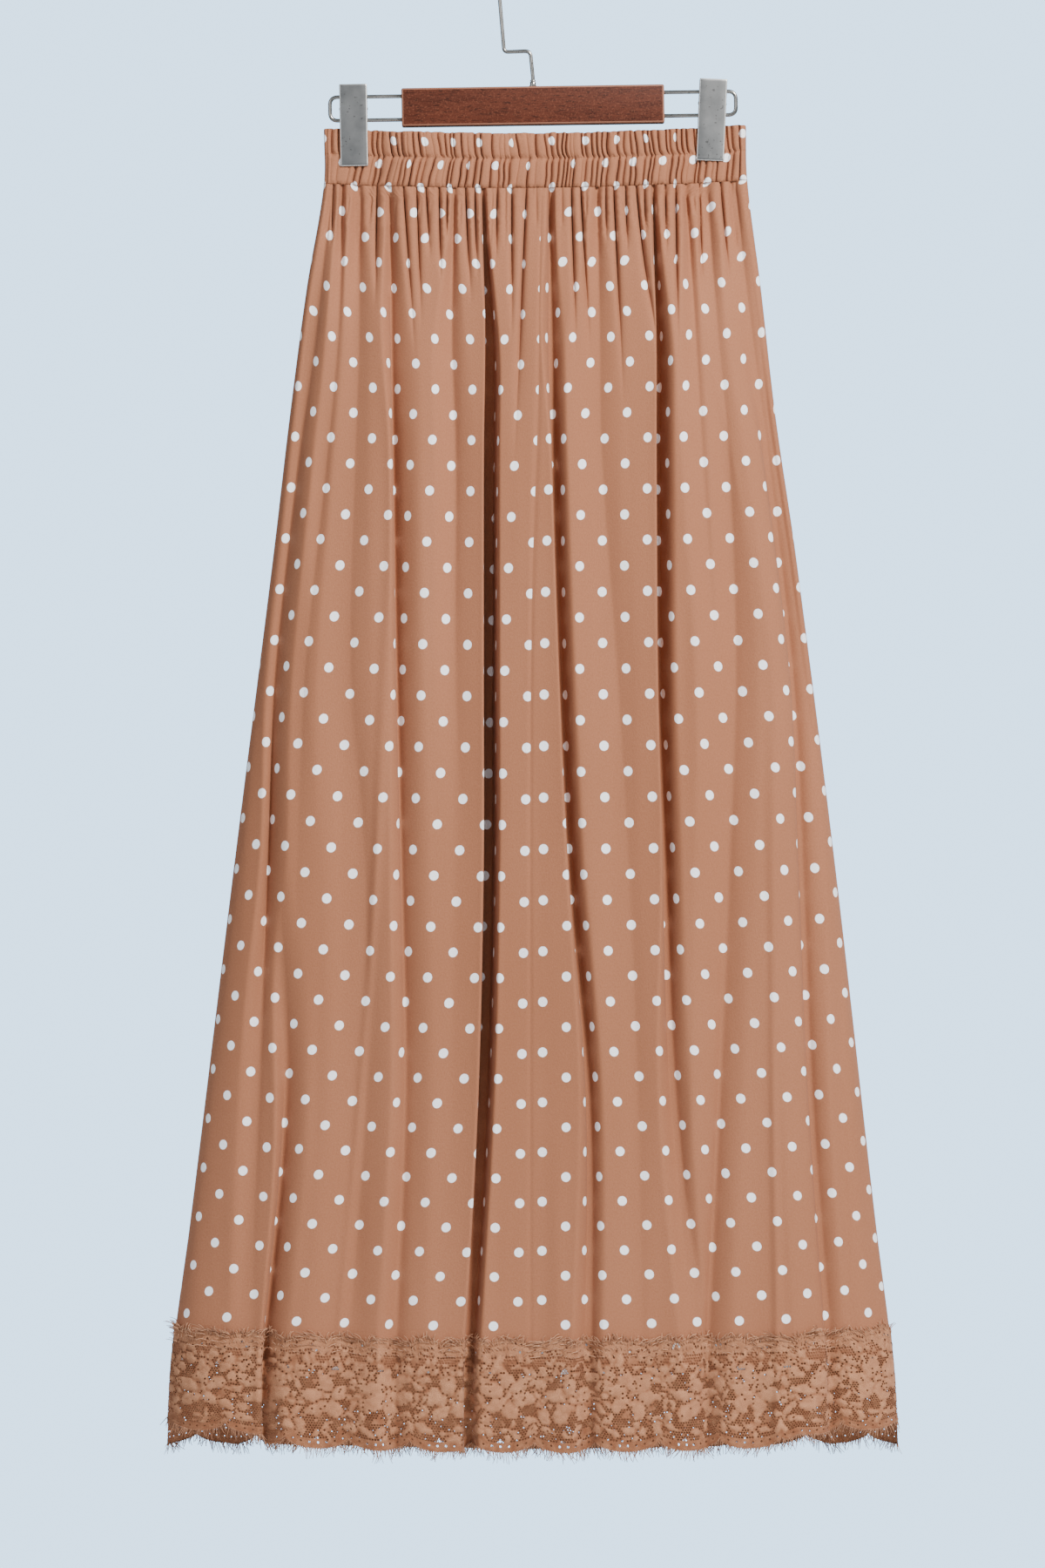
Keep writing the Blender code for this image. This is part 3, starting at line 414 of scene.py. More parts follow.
def build_wall(side):
    """The panels of the front or the back, as smooth grids with their UV in metres of cloth."""
    heights = wall_heights()
    x, y, z, q = cloth_rows(heights, side)
    run = along(x, y)
    full = run[:, -1:]
    if side == FRONT:
        seam_x = through(FOLD_HEIGHTS, CENTRE_SEAM.x, heights) * MM
        seam = np.array([[np.interp(s, row, r)] for s, row, r in zip(seam_x, q, run)])
        cuts = (("front_left_cloth", 0 * seam, seam, LEFT_PRINT),
                ("front_right_cloth", seam, full, RIGHT_PRINT))
    else:
        seam = full / 2
        cuts = (("back_cloth", 0 * full, full, BACK_PRINT),)
    waist_print[side] = (q[0], (run[0] - seam[0]) * cloth_width(0.0) / full[0])
    panels = []
    for name, start, end, cut in cuts:
        targets = start + (end - start) * np.linspace(0, 1, PANEL_COLUMNS[side])
        points = np.stack(resample(run, targets, x, y, z), axis=-1)
        points, uv = turn_hem(points, cloth_uv(targets, seam, heights, full, cut), side)
        quads = grid_quads(np.arange(points.size // 3).reshape(points.shape[:2]))
        if side == BACK:
            quads = quads[:, ::-1]
        panels.append(mesh_object(name, points.reshape(-1, 3), quads, cloth, uv.reshape(-1, 2)[quads]))
    return panels


# ---------------------------------------------------------------- node materials

class Nodes:
    """Short calls for building one material's node tree. Colours are red, green and blue."""

    def __init__(self, name):
        self.material = bpy.data.materials.new(name)
        self.material.use_nodes = True
        self.tree = self.material.node_tree
        self.shader = self.tree.nodes["Principled BSDF"]

    def feed(self, socket, value):
        if isinstance(value, bpy.types.NodeSocket):
            self.tree.links.new(value, socket)
        else:
            socket.default_value = (*value, 1.0) if socket.type == "RGBA" else value

    def add(self, kind, inputs=None, **settings):
        node = self.tree.nodes.new(kind)
        for key, value in settings.items():
            setattr(node, key, value)
        for key, value in (inputs or {}).items():
            self.feed(node.inputs[key], value)
        return node

    def math(self, operation, *values, clamp=False):
        inputs = dict(enumerate(values))
        return self.add("ShaderNodeMath", inputs, operation=operation, use_clamp=clamp).outputs[0]

    def mix(self, share, a, b):
        inputs = {"Factor": share, "A": a, "B": b}
        return self.add("ShaderNodeMix", inputs, data_type="RGBA").outputs["Result"]

    def noise(self, vector, scale, detail=2.0, roughness=0.5, distortion=0.0):
        inputs = {"Vector": vector, "Scale": scale, "Detail": detail, "Roughness": roughness,
                  "Distortion": distortion}
        return self.add("ShaderNodeTexNoise", inputs).outputs["Fac"]

    def scaled(self, vector, size):
        return self.add("ShaderNodeMapping", {"Vector": vector, "Scale": size}).outputs["Vector"]

    def coords(self, which):
        return self.add("ShaderNodeTexCoord").outputs[which]

    def split(self, vector):
        return self.add("ShaderNodeSeparateXYZ", {0: vector}).outputs

    def tone(self):
        return self.add("ShaderNodeAttribute", attribute_name="tone").outputs["Fac"]

    def remap(self, value, low, high, out_low=0.0, out_high=1.0):
        inputs = {"Value": value, "From Min": low, "From Max": high, "To Min": out_low, "To Max": out_high}
        return self.add("ShaderNodeMapRange", inputs).outputs["Result"]

    def stain(self, colour, mask, low, high, share, tint):
        """The colour with up to this share of the tint, where the mask rises from low to high."""
        return self.mix(self.remap(mask, low, high, 0.0, share), colour, tint)

    def bump(self, height, strength, distance, normal=None):
        inputs = {"Strength": strength, "Distance": distance, "Height": height}
        if normal is not None:
            inputs["Normal"] = normal
        return self.add("ShaderNodeBump", inputs).outputs["Normal"]

    def finish(self, colour, roughness, normal=None, **sockets):
        sockets.update(Base_Color=colour, Roughness=roughness)
        if normal is not None:
            sockets["Normal"] = normal
        for key, value in sockets.items():
            self.feed(self.shader.inputs[key.replace("_", " ")], value)
        return self.material


# A dot is white within the first distance from its middle and gone at the second
DOT_EDGE = (3.88 * MM, 4.30 * MM)
# Radians a metre: of the cloth's threads, and of the satin stitches of the lace's petals
WEAVE_THREADS = 2 * math.pi * 1500.0
SATIN_STITCHES = 2 * math.pi / (1.1 * MM)


def make_cloth():
    """Tan crepe with printed white dots on two interleaved square lattices."""
    n = Nodes("skirt_cloth_dotted")
    uv = n.coords("UV")
    place = n.split(uv)[:2]

    def from_dot(offset):
        """Distance from the nearest dot of one lattice."""
        cells = []
        for axis in place:
            part = n.math("FRACT", n.math("ADD", n.math("DIVIDE", axis, DOT_PITCH), offset))
            cells.append(n.math("MULTIPLY", n.math("SUBTRACT", part, 0.5), DOT_PITCH))
        square = n.math("MULTIPLY_ADD", cells[0], cells[0], n.math("MULTIPLY", cells[1], cells[1]))
        return n.math("SQRT", square)

    nearest = n.math("MINIMUM", from_dot(0.0), from_dot(0.5))
    uneven = n.math("MULTIPLY_ADD", n.noise(uv, 900.0), 0.5 * MM, nearest)
    uneven = n.math("MULTIPLY_ADD", n.noise(uv, 60.0, 1.0), 0.5 * MM, uneven)
    dots = n.remap(uneven, *DOT_EDGE, 1.0, 0.0)
    slow = n.noise(n.scaled(n.coords("Object"), (1.0, 1.0, 0.5)), 6.0, 3.0)
    mottled = n.noise(uv, 700.0, 3.0, 0.6)
    ground = n.mix(n.remap(slow, 0.3, 0.7), (0.325, 0.130, 0.066), (0.360, 0.148, 0.078))
    ground = n.stain(ground, mottled, 0.35, 0.75, 0.50, (0.240, 0.088, 0.042))
    white = n.mix(n.remap(mottled, 0.35, 0.75), (0.96, 0.96, 0.97), (0.88, 0.88, 0.91))
    weave = n.math("MULTIPLY", *[n.math("SINE", n.math("MULTIPLY", axis, WEAVE_THREADS)) for axis in place])
    crepe = n.noise(n.scaled(uv, (1.0, 0.55, 1.0)), 1000.0, 3.0, 0.65)
    normal = n.bump(crepe, 0.60, 0.38 * MM, n.bump(weave, 0.25, 0.10 * MM))
    rough = n.math("ADD", n.math("MULTIPLY", dots, -0.12), 0.80)
    return n.finish(n.mix(dots, ground, white), rough, normal, Sheen_Weight=0.08,
                    Sheen_Roughness=0.45, Sheen_Tint=(1.0, 0.82, 0.72), Specular_IOR_Level=0.15)


def make_lace():
    """Fuzzy net and satin-stitched petals, lighter where "tone" is high; the low tone of the net and between
    petals is partly painted shade.
    """
    n = Nodes("lace_thread")
    uv = n.coords("UV")
    fuzz = n.noise(uv, 1300.0, 3.0, 0.7)
    slow = n.noise(n.coords("Object"), 30.0, 3.0)
    colour = n.mix(n.tone(), (0.225, 0.084, 0.040), (0.560, 0.272, 0.146))
    colour = n.stain(colour, fuzz, 0.38, 0.72, 0.70, (0.180, 0.066, 0.031))
    colour = n.stain(colour, slow, 0.35, 0.65, 0.30, (0.380, 0.160, 0.082))
    across, down, _ = n.split(uv)
    slanted = n.math("MULTIPLY", n.math("ADD", across, down), SATIN_STITCHES)
    satin_stitch = n.math("SINE", n.math("ADD", slanted, n.math("MULTIPLY", slow, 30.0)))
    hairs = n.noise(n.scaled(uv, (1.0, 0.35, 1.0)), 1500.0, 2.0, 0.6, 0.6)
    normal = n.bump(hairs, 0.7, 0.4 * MM, n.bump(satin_stitch, 0.35, 0.25 * MM))
    return n.finish(colour, 0.85, normal, Sheen_Weight=0.05, Specular_IOR_Level=0.10)


def make_thread(name, dark, light, toned=False):
    """Matt spun thread between two colours, by its spots, or by "tone" and a little by its spots."""
    n = Nodes(name)
    place = n.coords("Object")
    shade = n.noise(place, 800.0)
    if toned:
        shade = n.math("MULTIPLY_ADD", n.math("SUBTRACT", shade, 0.5), 0.6, n.tone(), clamp=True)
    normal = n.bump(n.noise(n.scaled(place, (1.0, 1.0, 3.0)), 2500.0), 0.3, 0.1 * MM)
    return n.finish(n.mix(shade, dark, light), 0.8, normal, Specular_IOR_Level=0.15)


def make_wood():
    """Stained mahogany: long grain along the bar, short dark pores, and a painted highlight on its rounded
    edges.
    """
    n = Nodes("mahogany")
    place = n.coords("Object")
    flow = n.noise(n.scaled(place, (5.0, 40.0, 40.0)), 1.4, 4.0, 0.6, 0.8)
    grain = n.noise(n.scaled(place, (40.0, 400.0, 400.0)), 1.6, 5.0, 0.65, 0.4)
    pores = n.noise(n.scaled(place, (220.0, 900.0, 900.0)), 1.0)
    specks = n.noise(place, 700.0, 2.0, 0.7)
    colour = n.mix(n.remap(flow, 0.3, 0.7), (0.036, 0.0075, 0.0036), (0.074, 0.0175, 0.0082))
    colour = n.stain(colour, grain, 0.35, 0.70, 0.70, (0.100, 0.026, 0.0125))
    colour = n.stain(colour, pores, 0.54, 0.68, 0.70, (0.016, 0.004, 0.002))
    colour = n.stain(colour, specks, 0.52, 0.70, 0.60, (0.165, 0.055, 0.029))
    # Painted highlight: the rounded edges, where "tone" is 1, are mixed towards a light brown.
    colour = n.mix(n.math("MULTIPLY", n.tone(), 0.65), colour, (0.330, 0.150, 0.095))
    normal = n.bump(pores, 0.30, 0.2 * MM, n.bump(grain, 0.25, 0.3 * MM))
    return n.finish(colour, n.remap(grain, 0.3, 0.7, 0.45, 0.60), normal, Specular_IOR_Level=0.16)


def make_metal(name, dark, light, rough_low, rough_high, brushed):
    """Plated metal with faint smears, fine scratches and pinholes; where "tone" is high its edges get a
    painted highlight.
    """
    n = Nodes(name)
    place = n.coords("Object")
    smear = n.noise(place, 60.0, 4.0, 0.6)
    scratch = n.noise(n.scaled(place, brushed), 1.0, 3.0, 0.6)
    pits = n.noise(place, 420.0, 1.0)
    colour = n.mix(n.remap(smear, 0.3, 0.7), dark, light)
    colour = n.stain(colour, pits, 0.68, 0.74, 0.55, (0.05, 0.047, 0.043))
    # Painted highlight: edges marked by "tone" are mixed towards a pale bright colour.
    colour = n.mix(n.tone(), colour, (0.78, 0.77, 0.74))
    rough = n.remap(smear, 0.3, 0.7, rough_low, rough_high)
    return n.finish(colour, rough, n.bump(scratch, 0.04, 0.05 * MM), Metallic=1.0)


# ---------------------------------------------------------------- waistband

BAND_COLUMNS = 1700
BAND_ROWS = 42
BAND_WALL = 3.6 * MM
UPPER_STITCHING = 18.5 * MM
LOWER_CHANNEL = BAND_HEIGHT - UPPER_STITCHING
CHANNEL_BULGE = 0.9 * MM
STITCH_TUCK = 1.2 * MM
ROLL_RISE = 0.9 * MM
INNER_ROW_STEP = 2.0 * MM
# Gathers of the band, in millimetres: pitch, depth, and width of the slit
GATHER_PITCH = 4.9
GATHER_DEPTHS = (2.8, 5.2)
GATHER_WIDTHS = (0.36, 0.66)
# Share of gathers that nearly stop at the upper stitching, and what is left of them there
ONE_CHANNEL_CHANCE = 0.22
ONE_CHANNEL_DEPTH = 0.25


def near_line(below, line, reach):
    return np.exp(-((below - line) / reach) ** 2)


def band_gathers(side):
    """Random gathers of one side, as place, depth above, depth below and width."""
    rng = np.random.default_rng({FRONT: 71, BACK: 72}[side])
    gathers, x = [], -156.5
    while x < 160:
        upper, lower = rng.uniform(*GATHER_DEPTHS, 2)
        if rng.random() < ONE_CHANNEL_CHANCE:
            upper *= ONE_CHANNEL_DEPTH
        elif rng.random() < ONE_CHANNEL_CHANCE:
            lower *= ONE_CHANNEL_DEPTH
        gathers.append((x * MM, upper * MM, lower * MM, rng.uniform(*GATHER_WIDTHS) * MM))
        x += GATHER_PITCH * rng.choice([0.55, 0.8, 1.0, 1.25, 1.6], p=[.15, .25, .25, .2, .15])
    return gathers


def band_slant(q, below):
    """How far the gathers have moved sideways at this depth below the top edge."""
    share = np.clip(below / UPPER_STITCHING, 0, 1)
    reach = (2.0 + 3.6 * (1 - ramp(q, -0.130, 0.010))) * MM
    above_foot = 1 - np.clip((below - UPPER_STITCHING) / LOWER_CHANNEL, 0, 1)
    jog = 0.8 * MM * near_line(below, UPPER_STITCHING, 1.6 * MM)
    wander = 0.9 * MM * soft_noise(q / 0.011, below / 0.012, 77) * np.minimum(2 * above_foot, 1)
    return 1.6 * MM * (share * share - 1) + reach * above_foot + jog + wander


def band_inward(q, below, side):
    """How far the gathers and rows of stitching push the band's outer face in."""
    total = np.zeros(np.broadcast(q, below).shape)
    at_lower = ramp(below, UPPER_STITCHING - 1.5 * MM, UPPER_STITCHING + 1.5 * MM)
    for x, upper, lower, width in band_gathers(side):
        depth = upper * (1 - at_lower) + lower * at_lower
        total += (depth * slit(np.abs(q - x), width)) ** 3
    held = near_line(below, UPPER_STITCHING, 1.9 * MM) + near_line(below, BAND_HEIGHT, 1.6 * MM)
    held = np.minimum(held, 1)
    total = np.cbrt(total) * (1 - 0.50 * held)
    pucker = near_line(below, UPPER_STITCHING, 1.7 * MM) + near_line(below, BAND_HEIGHT, 1.7 * MM)
    pucker += 0.7 * near_line(below, 0.0, 1.8 * MM)
    total += 0.75 * MM * pucker * soft_noise(q / (1.25 * MM), below / 0.02, 79)
    total += 0.35 * MM * soft_noise(q / (6 * MM), below / (9 * MM), 81)
    in_upper = np.sin(math.pi * np.clip(below / UPPER_STITCHING, 0, 1))
    in_lower = np.sin(math.pi * np.clip((below - UPPER_STITCHING) / LOWER_CHANNEL, 0, 1))
    total -= CHANNEL_BULGE * (in_upper + 1.2 * in_lower) * (1 - near_clip(q))
    return total + STITCH_TUCK * held


def band_side(below, side):
    """Fine rows of points of the band's outer face on one side, left to right."""
    below = below[:, None]
    height = BAND_TOP - below
    q = ring_places(height)
    at_edge = inside_sides(height, q, 5 * MM)
    depth = half_depth(height, q, side)
    y = side * np.maximum(depth - np.minimum(band_inward(q, below, side) * at_edge, 0.72 * depth), 0)
    x = q + band_slant(q, below) * inside_sides(height, q, 14 * MM)
    ruffle = near_line(below, 0.0, 2.5 * MM) * soft_noise(q / (3.2 * MM), q * 0, 83)
    return x, y, hung_height(height, q) + 0.5 * MM * ruffle * at_edge, q


def build_waistband():
    """Casing: the outer face, the roll over its top edge, and the inner face."""
    below = np.linspace(BAND_HEIGHT, 0, BAND_ROWS)
    sides = [band_side(below, side) for side in (FRONT, BACK)]
    fields = [np.concatenate([front, back[:, -2::-1]], axis=1) for front, back in zip(*sides)]
    run = along(*fields[:2]).mean(axis=0)
    targets = np.linspace(0, run[-1], BAND_COLUMNS, endpoint=False)
    x, y, z, q = [np.array([np.interp(targets, run, row) for row in field]) for field in fields]
    outer = np.stack([x, y, z], axis=-1)
    middle, half = outline(BAND_TOP)

    def moved_in(row, distance, up):
        px, py, pz = row.T
        inner_y = np.sign(py) * np.maximum(np.abs(py) - distance, 0.30 * np.abs(py))
        return np.stack([middle + (px - middle) * (1 - distance / half), inner_y, pz + up], axis=-1)

    turns = [math.pi * k / 6 for k in range(1, 6)]
    roll = [moved_in(outer[-1], BAND_WALL / 2 * (1 - math.cos(t)), ROLL_RISE * math.sin(t)) for t in turns]
    calm = np.stack([blurred(outer[:, :, k], 5, 10, "wrap") for k in range(3)], axis=-1)
    inner = [moved_in(calm[i], BAND_WALL, 0.0) for i in range(BAND_ROWS - 2, -1, -5)]
    v = -(BAND_HEIGHT - below) * BAND_PRINT_RATE
    v = np.concatenate([v, v[-1] - np.arange(1, len(roll) + len(inner) + 1) * INNER_ROW_STEP])
    on_front = (targets + targets[1] / 2) < float(run[FINE - 1])
    points = np.concatenate([outer, np.array(roll + inner)])
    return ring_object("waistband_gathered", points, q[0], on_front, v)


def ring_object(name, points, q, on_front, v):
    """Closed tube of quads round the waist, its print cut at the seam and the sides."""
    rows, columns = points.shape[:2]
    index = np.arange(rows * columns).reshape(rows, columns)
    quads = grid_quads(np.pad(index, ((0, 1), (0, 1)), mode="wrap"))
    q_after = np.roll(q, -1)
    seam_x = float(through(FOLD_HEIGHTS, CENTRE_SEAM.x, BAND_FOOT)) * MM
    on_left = on_front & ((q + q_after) / 2 < seam_x)
    v_after = np.append(v[1:], v[-1] - INNER_ROW_STEP)
    uv = np.zeros((rows, columns, 4, 2))
    for corner, (place, down) in enumerate(((q, v), (q, v_after), (q_after, v_after), (q_after, v))):
        for mask, side, cut in ((on_left, FRONT, LEFT_PRINT), (on_front & ~on_left, FRONT, RIGHT_PRINT),
                                (~on_front, BACK, BACK_PRINT)):
            u = np.interp(place[mask], *waist_print[side])
            uv[:, mask, corner, 0] = u + cut.u + cut.slant * down[:, None]
            uv[:, mask, corner, 1] = down[:, None] + cut.v
    return mesh_object(name, points.reshape(-1, 3), quads[:, ::-1], cloth, uv.reshape(-1, 4, 2)[:, ::-1])


# ---------------------------------------------------------------- threads as thin tubes

def strands(name, paths, radii, material, sides=3, tone=None):
    """One mesh of closed tubes. paths is strands x points x 3, radii strands x points."""
    paths, radii = np.asarray(paths, float), np.asarray(radii, float)
    count, points = paths.shape[:2]
    tangent = np.gradient(paths, axis=1)
    tangent /= np.linalg.norm(tangent, axis=-1, keepdims=True) + 1e-12
    across = np.cross(tangent, (0.0, 1.0, 0.0))
    across /= np.linalg.norm(across, axis=-1, keepdims=True) + 1e-12
    upward = np.cross(across, tangent)
    turn = (2 * math.pi * np.arange(sides) / sides)[:, None]
    ring = across[:, :, None] * np.cos(turn) + upward[:, :, None] * np.sin(turn)
    vertices = paths[:, :, None] + ring * radii[:, :, None, None]
    index = np.arange(count * points * sides).reshape(count, points, sides)
    after = np.roll(index, -1, axis=2)
    quads = np.stack([index[:, :-1], index[:, 1:], after[:, 1:], after[:, :-1]], axis=-1).reshape(-1, 4)
    caps = np.concatenate([index[:, 0], index[:, -1, ::-1]])
    tones = None if tone is None else np.repeat(np.asarray(tone, float), points * sides)
    return mesh_object(name, vertices.reshape(-1, 3), quads.tolist() + caps.tolist(), material, tone=tones)


# Rows of the band's outer face, up from its foot, that carry a row of stitching
STITCHED_ROWS = (0, 23)
STITCH_PITCH = 3.1 * MM
STITCH_RADIUS = 0.17 * MM
# One stitch: distance along the row and height over the cloth
STITCH = np.array([(0, -0.25), (0.5, 0.12), (1.3, 0.22), (2.1, 0.12), (2.6, -0.25)]) * MM


def build_stitches(band):
    """Lockstitch of the band's two rows, each stitch a short raised thread."""
    points = np.array([v.co for v in band.data.vertices]).reshape(-1, BAND_COLUMNS, 3)
    paths = []
    for ring in points[list(STITCHED_ROWS)]:
        run = np.concatenate([[0], np.cumsum(np.linalg.norm(np.diff(ring, axis=0), axis=1))])
        for start in np.arange(0, run[-1] - 4 * MM, STITCH_PITCH):
            path = np.stack([np.interp(start + STITCH[:, 0], run, ring[:, k]) for k in range(3)], axis=-1)
            path[:, 1] += np.sign(path[2, 1]) * STITCH[:, 1]
            paths.append(path)
    radii = np.full((len(paths), len(STITCH)), STITCH_RADIUS)
    return strands("waistband_stitches", paths, radii, stitch_thread, sides=4)


# ---------------------------------------------------------------- lace

LACE_CELL = 2.1 * MM
LACE_SIDE = LACE_CELL / math.sqrt(3)
LACE_STAND_OFF = 0.8 * MM
LACE_LENGTH = LACE_TOP - LACE_FOOT + SCALLOP_DEPTH
TABLE_ROWS, TABLE_COLUMNS, PLACES_ROW = 56, 900, 20
BACK_HANGS_LOWER = 3.5 * MM
# The front's lace is a little shorter, most of all at its two ends
FRONT_LIFT = 3.5 * MM
END_LIFT = 8.0 * MM
TOP_WAVE = 3.5 * MM
TOP_WAVE_WIDTH = 31 * MM
# The net's open cells: how much of each is open, and how many of the cells that may be
HOLE_SHARE = {FRONT: 0.77, BACK: 0.38}
OPEN_CHANCE = {FRONT: 0.96, BACK: 0.16}
DENSE_TOP = 11 * MM
BORDER = 8.0 * MM

# Blossoms of one repeat of the lace: centre across and down, radius, petals and turn
REPEAT = 92.0
Blossom = namedtuple("Blossom", "x down radius petals turn")
BLOSSOMS = [Blossom(*row) for row in (
    (22, 41, 20, 6, 0.3), (68, 46, 18, 5, 0.9), (45, 28, 11, 5, 0.1), (92, 28, 12, 5, 1.9),
    (44, 65, 12, 4, 0.5), (1, 66, 12, 4, 2.2), (68, 22, 8, 4, 0.7), (23, 70, 9, 4, 0.2),
    (69, 72, 8, 3, 1.2), (10, 19, 9, 5, 0.4), (32, 17, 8, 4, 1.1), (56, 18, 8, 5, 0.0),
    (80, 16, 9, 4, 1.7), (48, 47, 8, 4, 0.8), (0, 48, 8, 4, 0.3),
)]
# A blossom's heart and petals: distance out and size as shares of its radius, length, width
HEART, PETAL = (0, 0.16, 1, 1), (0.62, 0.34, 1.35, 0.85)
# How the petals' outlines wander across and down: how far, over what width and height, seed
WANDER_ACROSS = ((2.6, 7, 7, 201), (1.3, 2.4, 2.4, 211))
WANDER_DOWN = ((2.6, 8, 6, 203), (1.3, 2.4, 2.4, 213))

# One side's lace: its table of points, the places along the ring, its width, side and shift
Lace = namedtuple("Lace", "table places full side shift")


def lace_field(across, down):
    """Depth inside the nearest petal and the next nearest, in metres, negative outside."""
    moved = [sum(size * MM * soft_noise(across / (width * MM), down / (height * MM), seed)
                 for size, width, height, seed in wander) for wander in (WANDER_ACROSS, WANDER_DOWN)]
    across, down = (across + moved[0]) / MM, (down + moved[1]) / MM
    best = np.full(across.shape, -1.0)
    second = best.copy()
    for flower in BLOSSOMS:
        for k in range(-1, flower.petals):
            out, size, long, wide = HEART if k < 0 else PETAL
            angle = flower.turn + 2 * math.pi * k / flower.petals
            c, s = math.cos(angle), math.sin(angle)
            dx = (across - flower.x - out * flower.radius * c + REPEAT / 2) % REPEAT - REPEAT / 2
            dy = down - flower.down - out * flower.radius * s
            away = np.hypot((dx * c + dy * s) / long, (dy * c - dx * s) / wide)
            inside = (size * flower.radius - away) * MM
            second = np.where(inside > best, best, np.maximum(second, inside))
            best = np.maximum(best, inside)
    return best, second


def lay_lace(side, shift):
    """Lace laid over the cloth: an even table of its points by distance down and along."""
    down = np.linspace(0, LACE_TOP - LACE_FOOT, TABLE_ROWS)[:, None]
    x, y, z, q = cloth_rows(LACE_TOP - down[:, 0], side)
    dx, dy = np.gradient(x, axis=1), np.gradient(y, axis=1)
    length = np.hypot(dx, dy) + 1e-9
    loose = ramp(down, 0.020, 0.070) * inside_sides(LACE_TOP - down, q, 15 * MM)
    x = x - side * dy / length * LACE_STAND_OFF
    y = y + side * dx / length * LACE_STAND_OFF
    y = y + side * 2.0 * MM * loose * soft_noise(q / 0.017, down / 0.05, 41 + shift)
    run = along(x, y)
    x, y, z, q = resample(run, run[:, -1:] * np.linspace(0, 1, TABLE_COLUMNS), x, y, z, q)
    return Lace(np.stack([x, y, z], axis=-1), q[PLACES_ROW], float(run[:, -1].mean()), side, shift)


def place_of(lace, s):
    """Place along the ring of a distance along the lace."""
    return np.interp(s / lace.full, np.linspace(0, 1, len(lace.places)), lace.places)


def read_table(table, s_share, t_share):
    """Points of the table between its rows and columns."""
    rows, columns = table.shape[:2]
    i = np.clip(t_share, 0, 1) * (rows - 1)
    j = np.clip(s_share, 0, 1) * (columns - 1)
    i0 = np.minimum(i.astype(int), rows - 2)
    j0 = np.minimum(j.astype(int), columns - 2)
    a, b = (i - i0)[:, None], (j - j0)[:, None]
    upper = table[i0, j0] * (1 - b) + table[i0, j0 + 1] * b
    lower = table[i0 + 1, j0] * (1 - b) + table[i0 + 1, j0 + 1] * b
    return upper * (1 - a) + lower * a


def lace_points(lace, s, down, raised=0.0):
    """World points of lace places: s along, down from its top, and how far raised."""
    q = place_of(lace, s)
    points = read_table(lace.table, s / lace.full, down / LACE_LENGTH)
    drop = SCALLOP_DEPTH * np.abs(np.sin(math.pi * (q / SCALLOP_WIDTH + lace.shift / 2))) ** 0.55
    if lace.side == BACK:
        drop += BACK_HANGS_LOWER
    else:
        drop -= FRONT_LIFT + END_LIFT * (ramp(-q, 0.196, 0.210) + ramp(q, 0.184, 0.198))
    wave = TOP_WAVE * (np.abs(np.sin(math.pi * s / TOP_WAVE_WIDTH)) ** 0.7
                       + 0.5 * soft_noise(s / 0.009, s * 0, 205))
    points[:, 2] += wave * (1 - ramp(down, 0, 0.020)) - drop * (down / LACE_LENGTH) ** 2
    # The two laces meet at the sides, where their last cells overlap
    points[:, 1] += lace.side * raised * ramp(np.minimum(s, lace.full - s), 0, 3 * MM)
    points[:, 1] -= lace.side * np.maximum(np.maximum(-s, s - lace.full), 0)
    return points


def open_cells(lace, across, s, down, row, column, rows):
    """Which cells of the net are open: between petals, and in the border's row of holes."""
    best, second = lace_field(across, down)
    chance = np.random.default_rng(91 + lace.shift).random(len(s))
    open_chance = OPEN_CHANCE[lace.side]
    patch = soft_noise(s / 0.0095, down / 0.0080, 93 + lace.shift)
    ground = (best < 0) & ((best > -2.0 * MM) | (patch > -0.45)) & (chance < open_chance)
    between = (best > 0) & (best - second < 1.0 * MM) & (second > -0.5 * MM) & (chance < 0.8 * open_chance)
    is_open = (ground | between) & (down > DENSE_TOP + 3.0 * MM * patch) & (down < LACE_LENGTH - BORDER)
    if lace.side == FRONT:
        is_open |= (best > 1.4 * MM) & (chance > 0.95) & (down > DENSE_TOP)
        is_open |= (down < DENSE_TOP) & (chance > 0.88) & (row > 0)
    return is_open | ((row == rows - 3) & (column % 3 == 0))


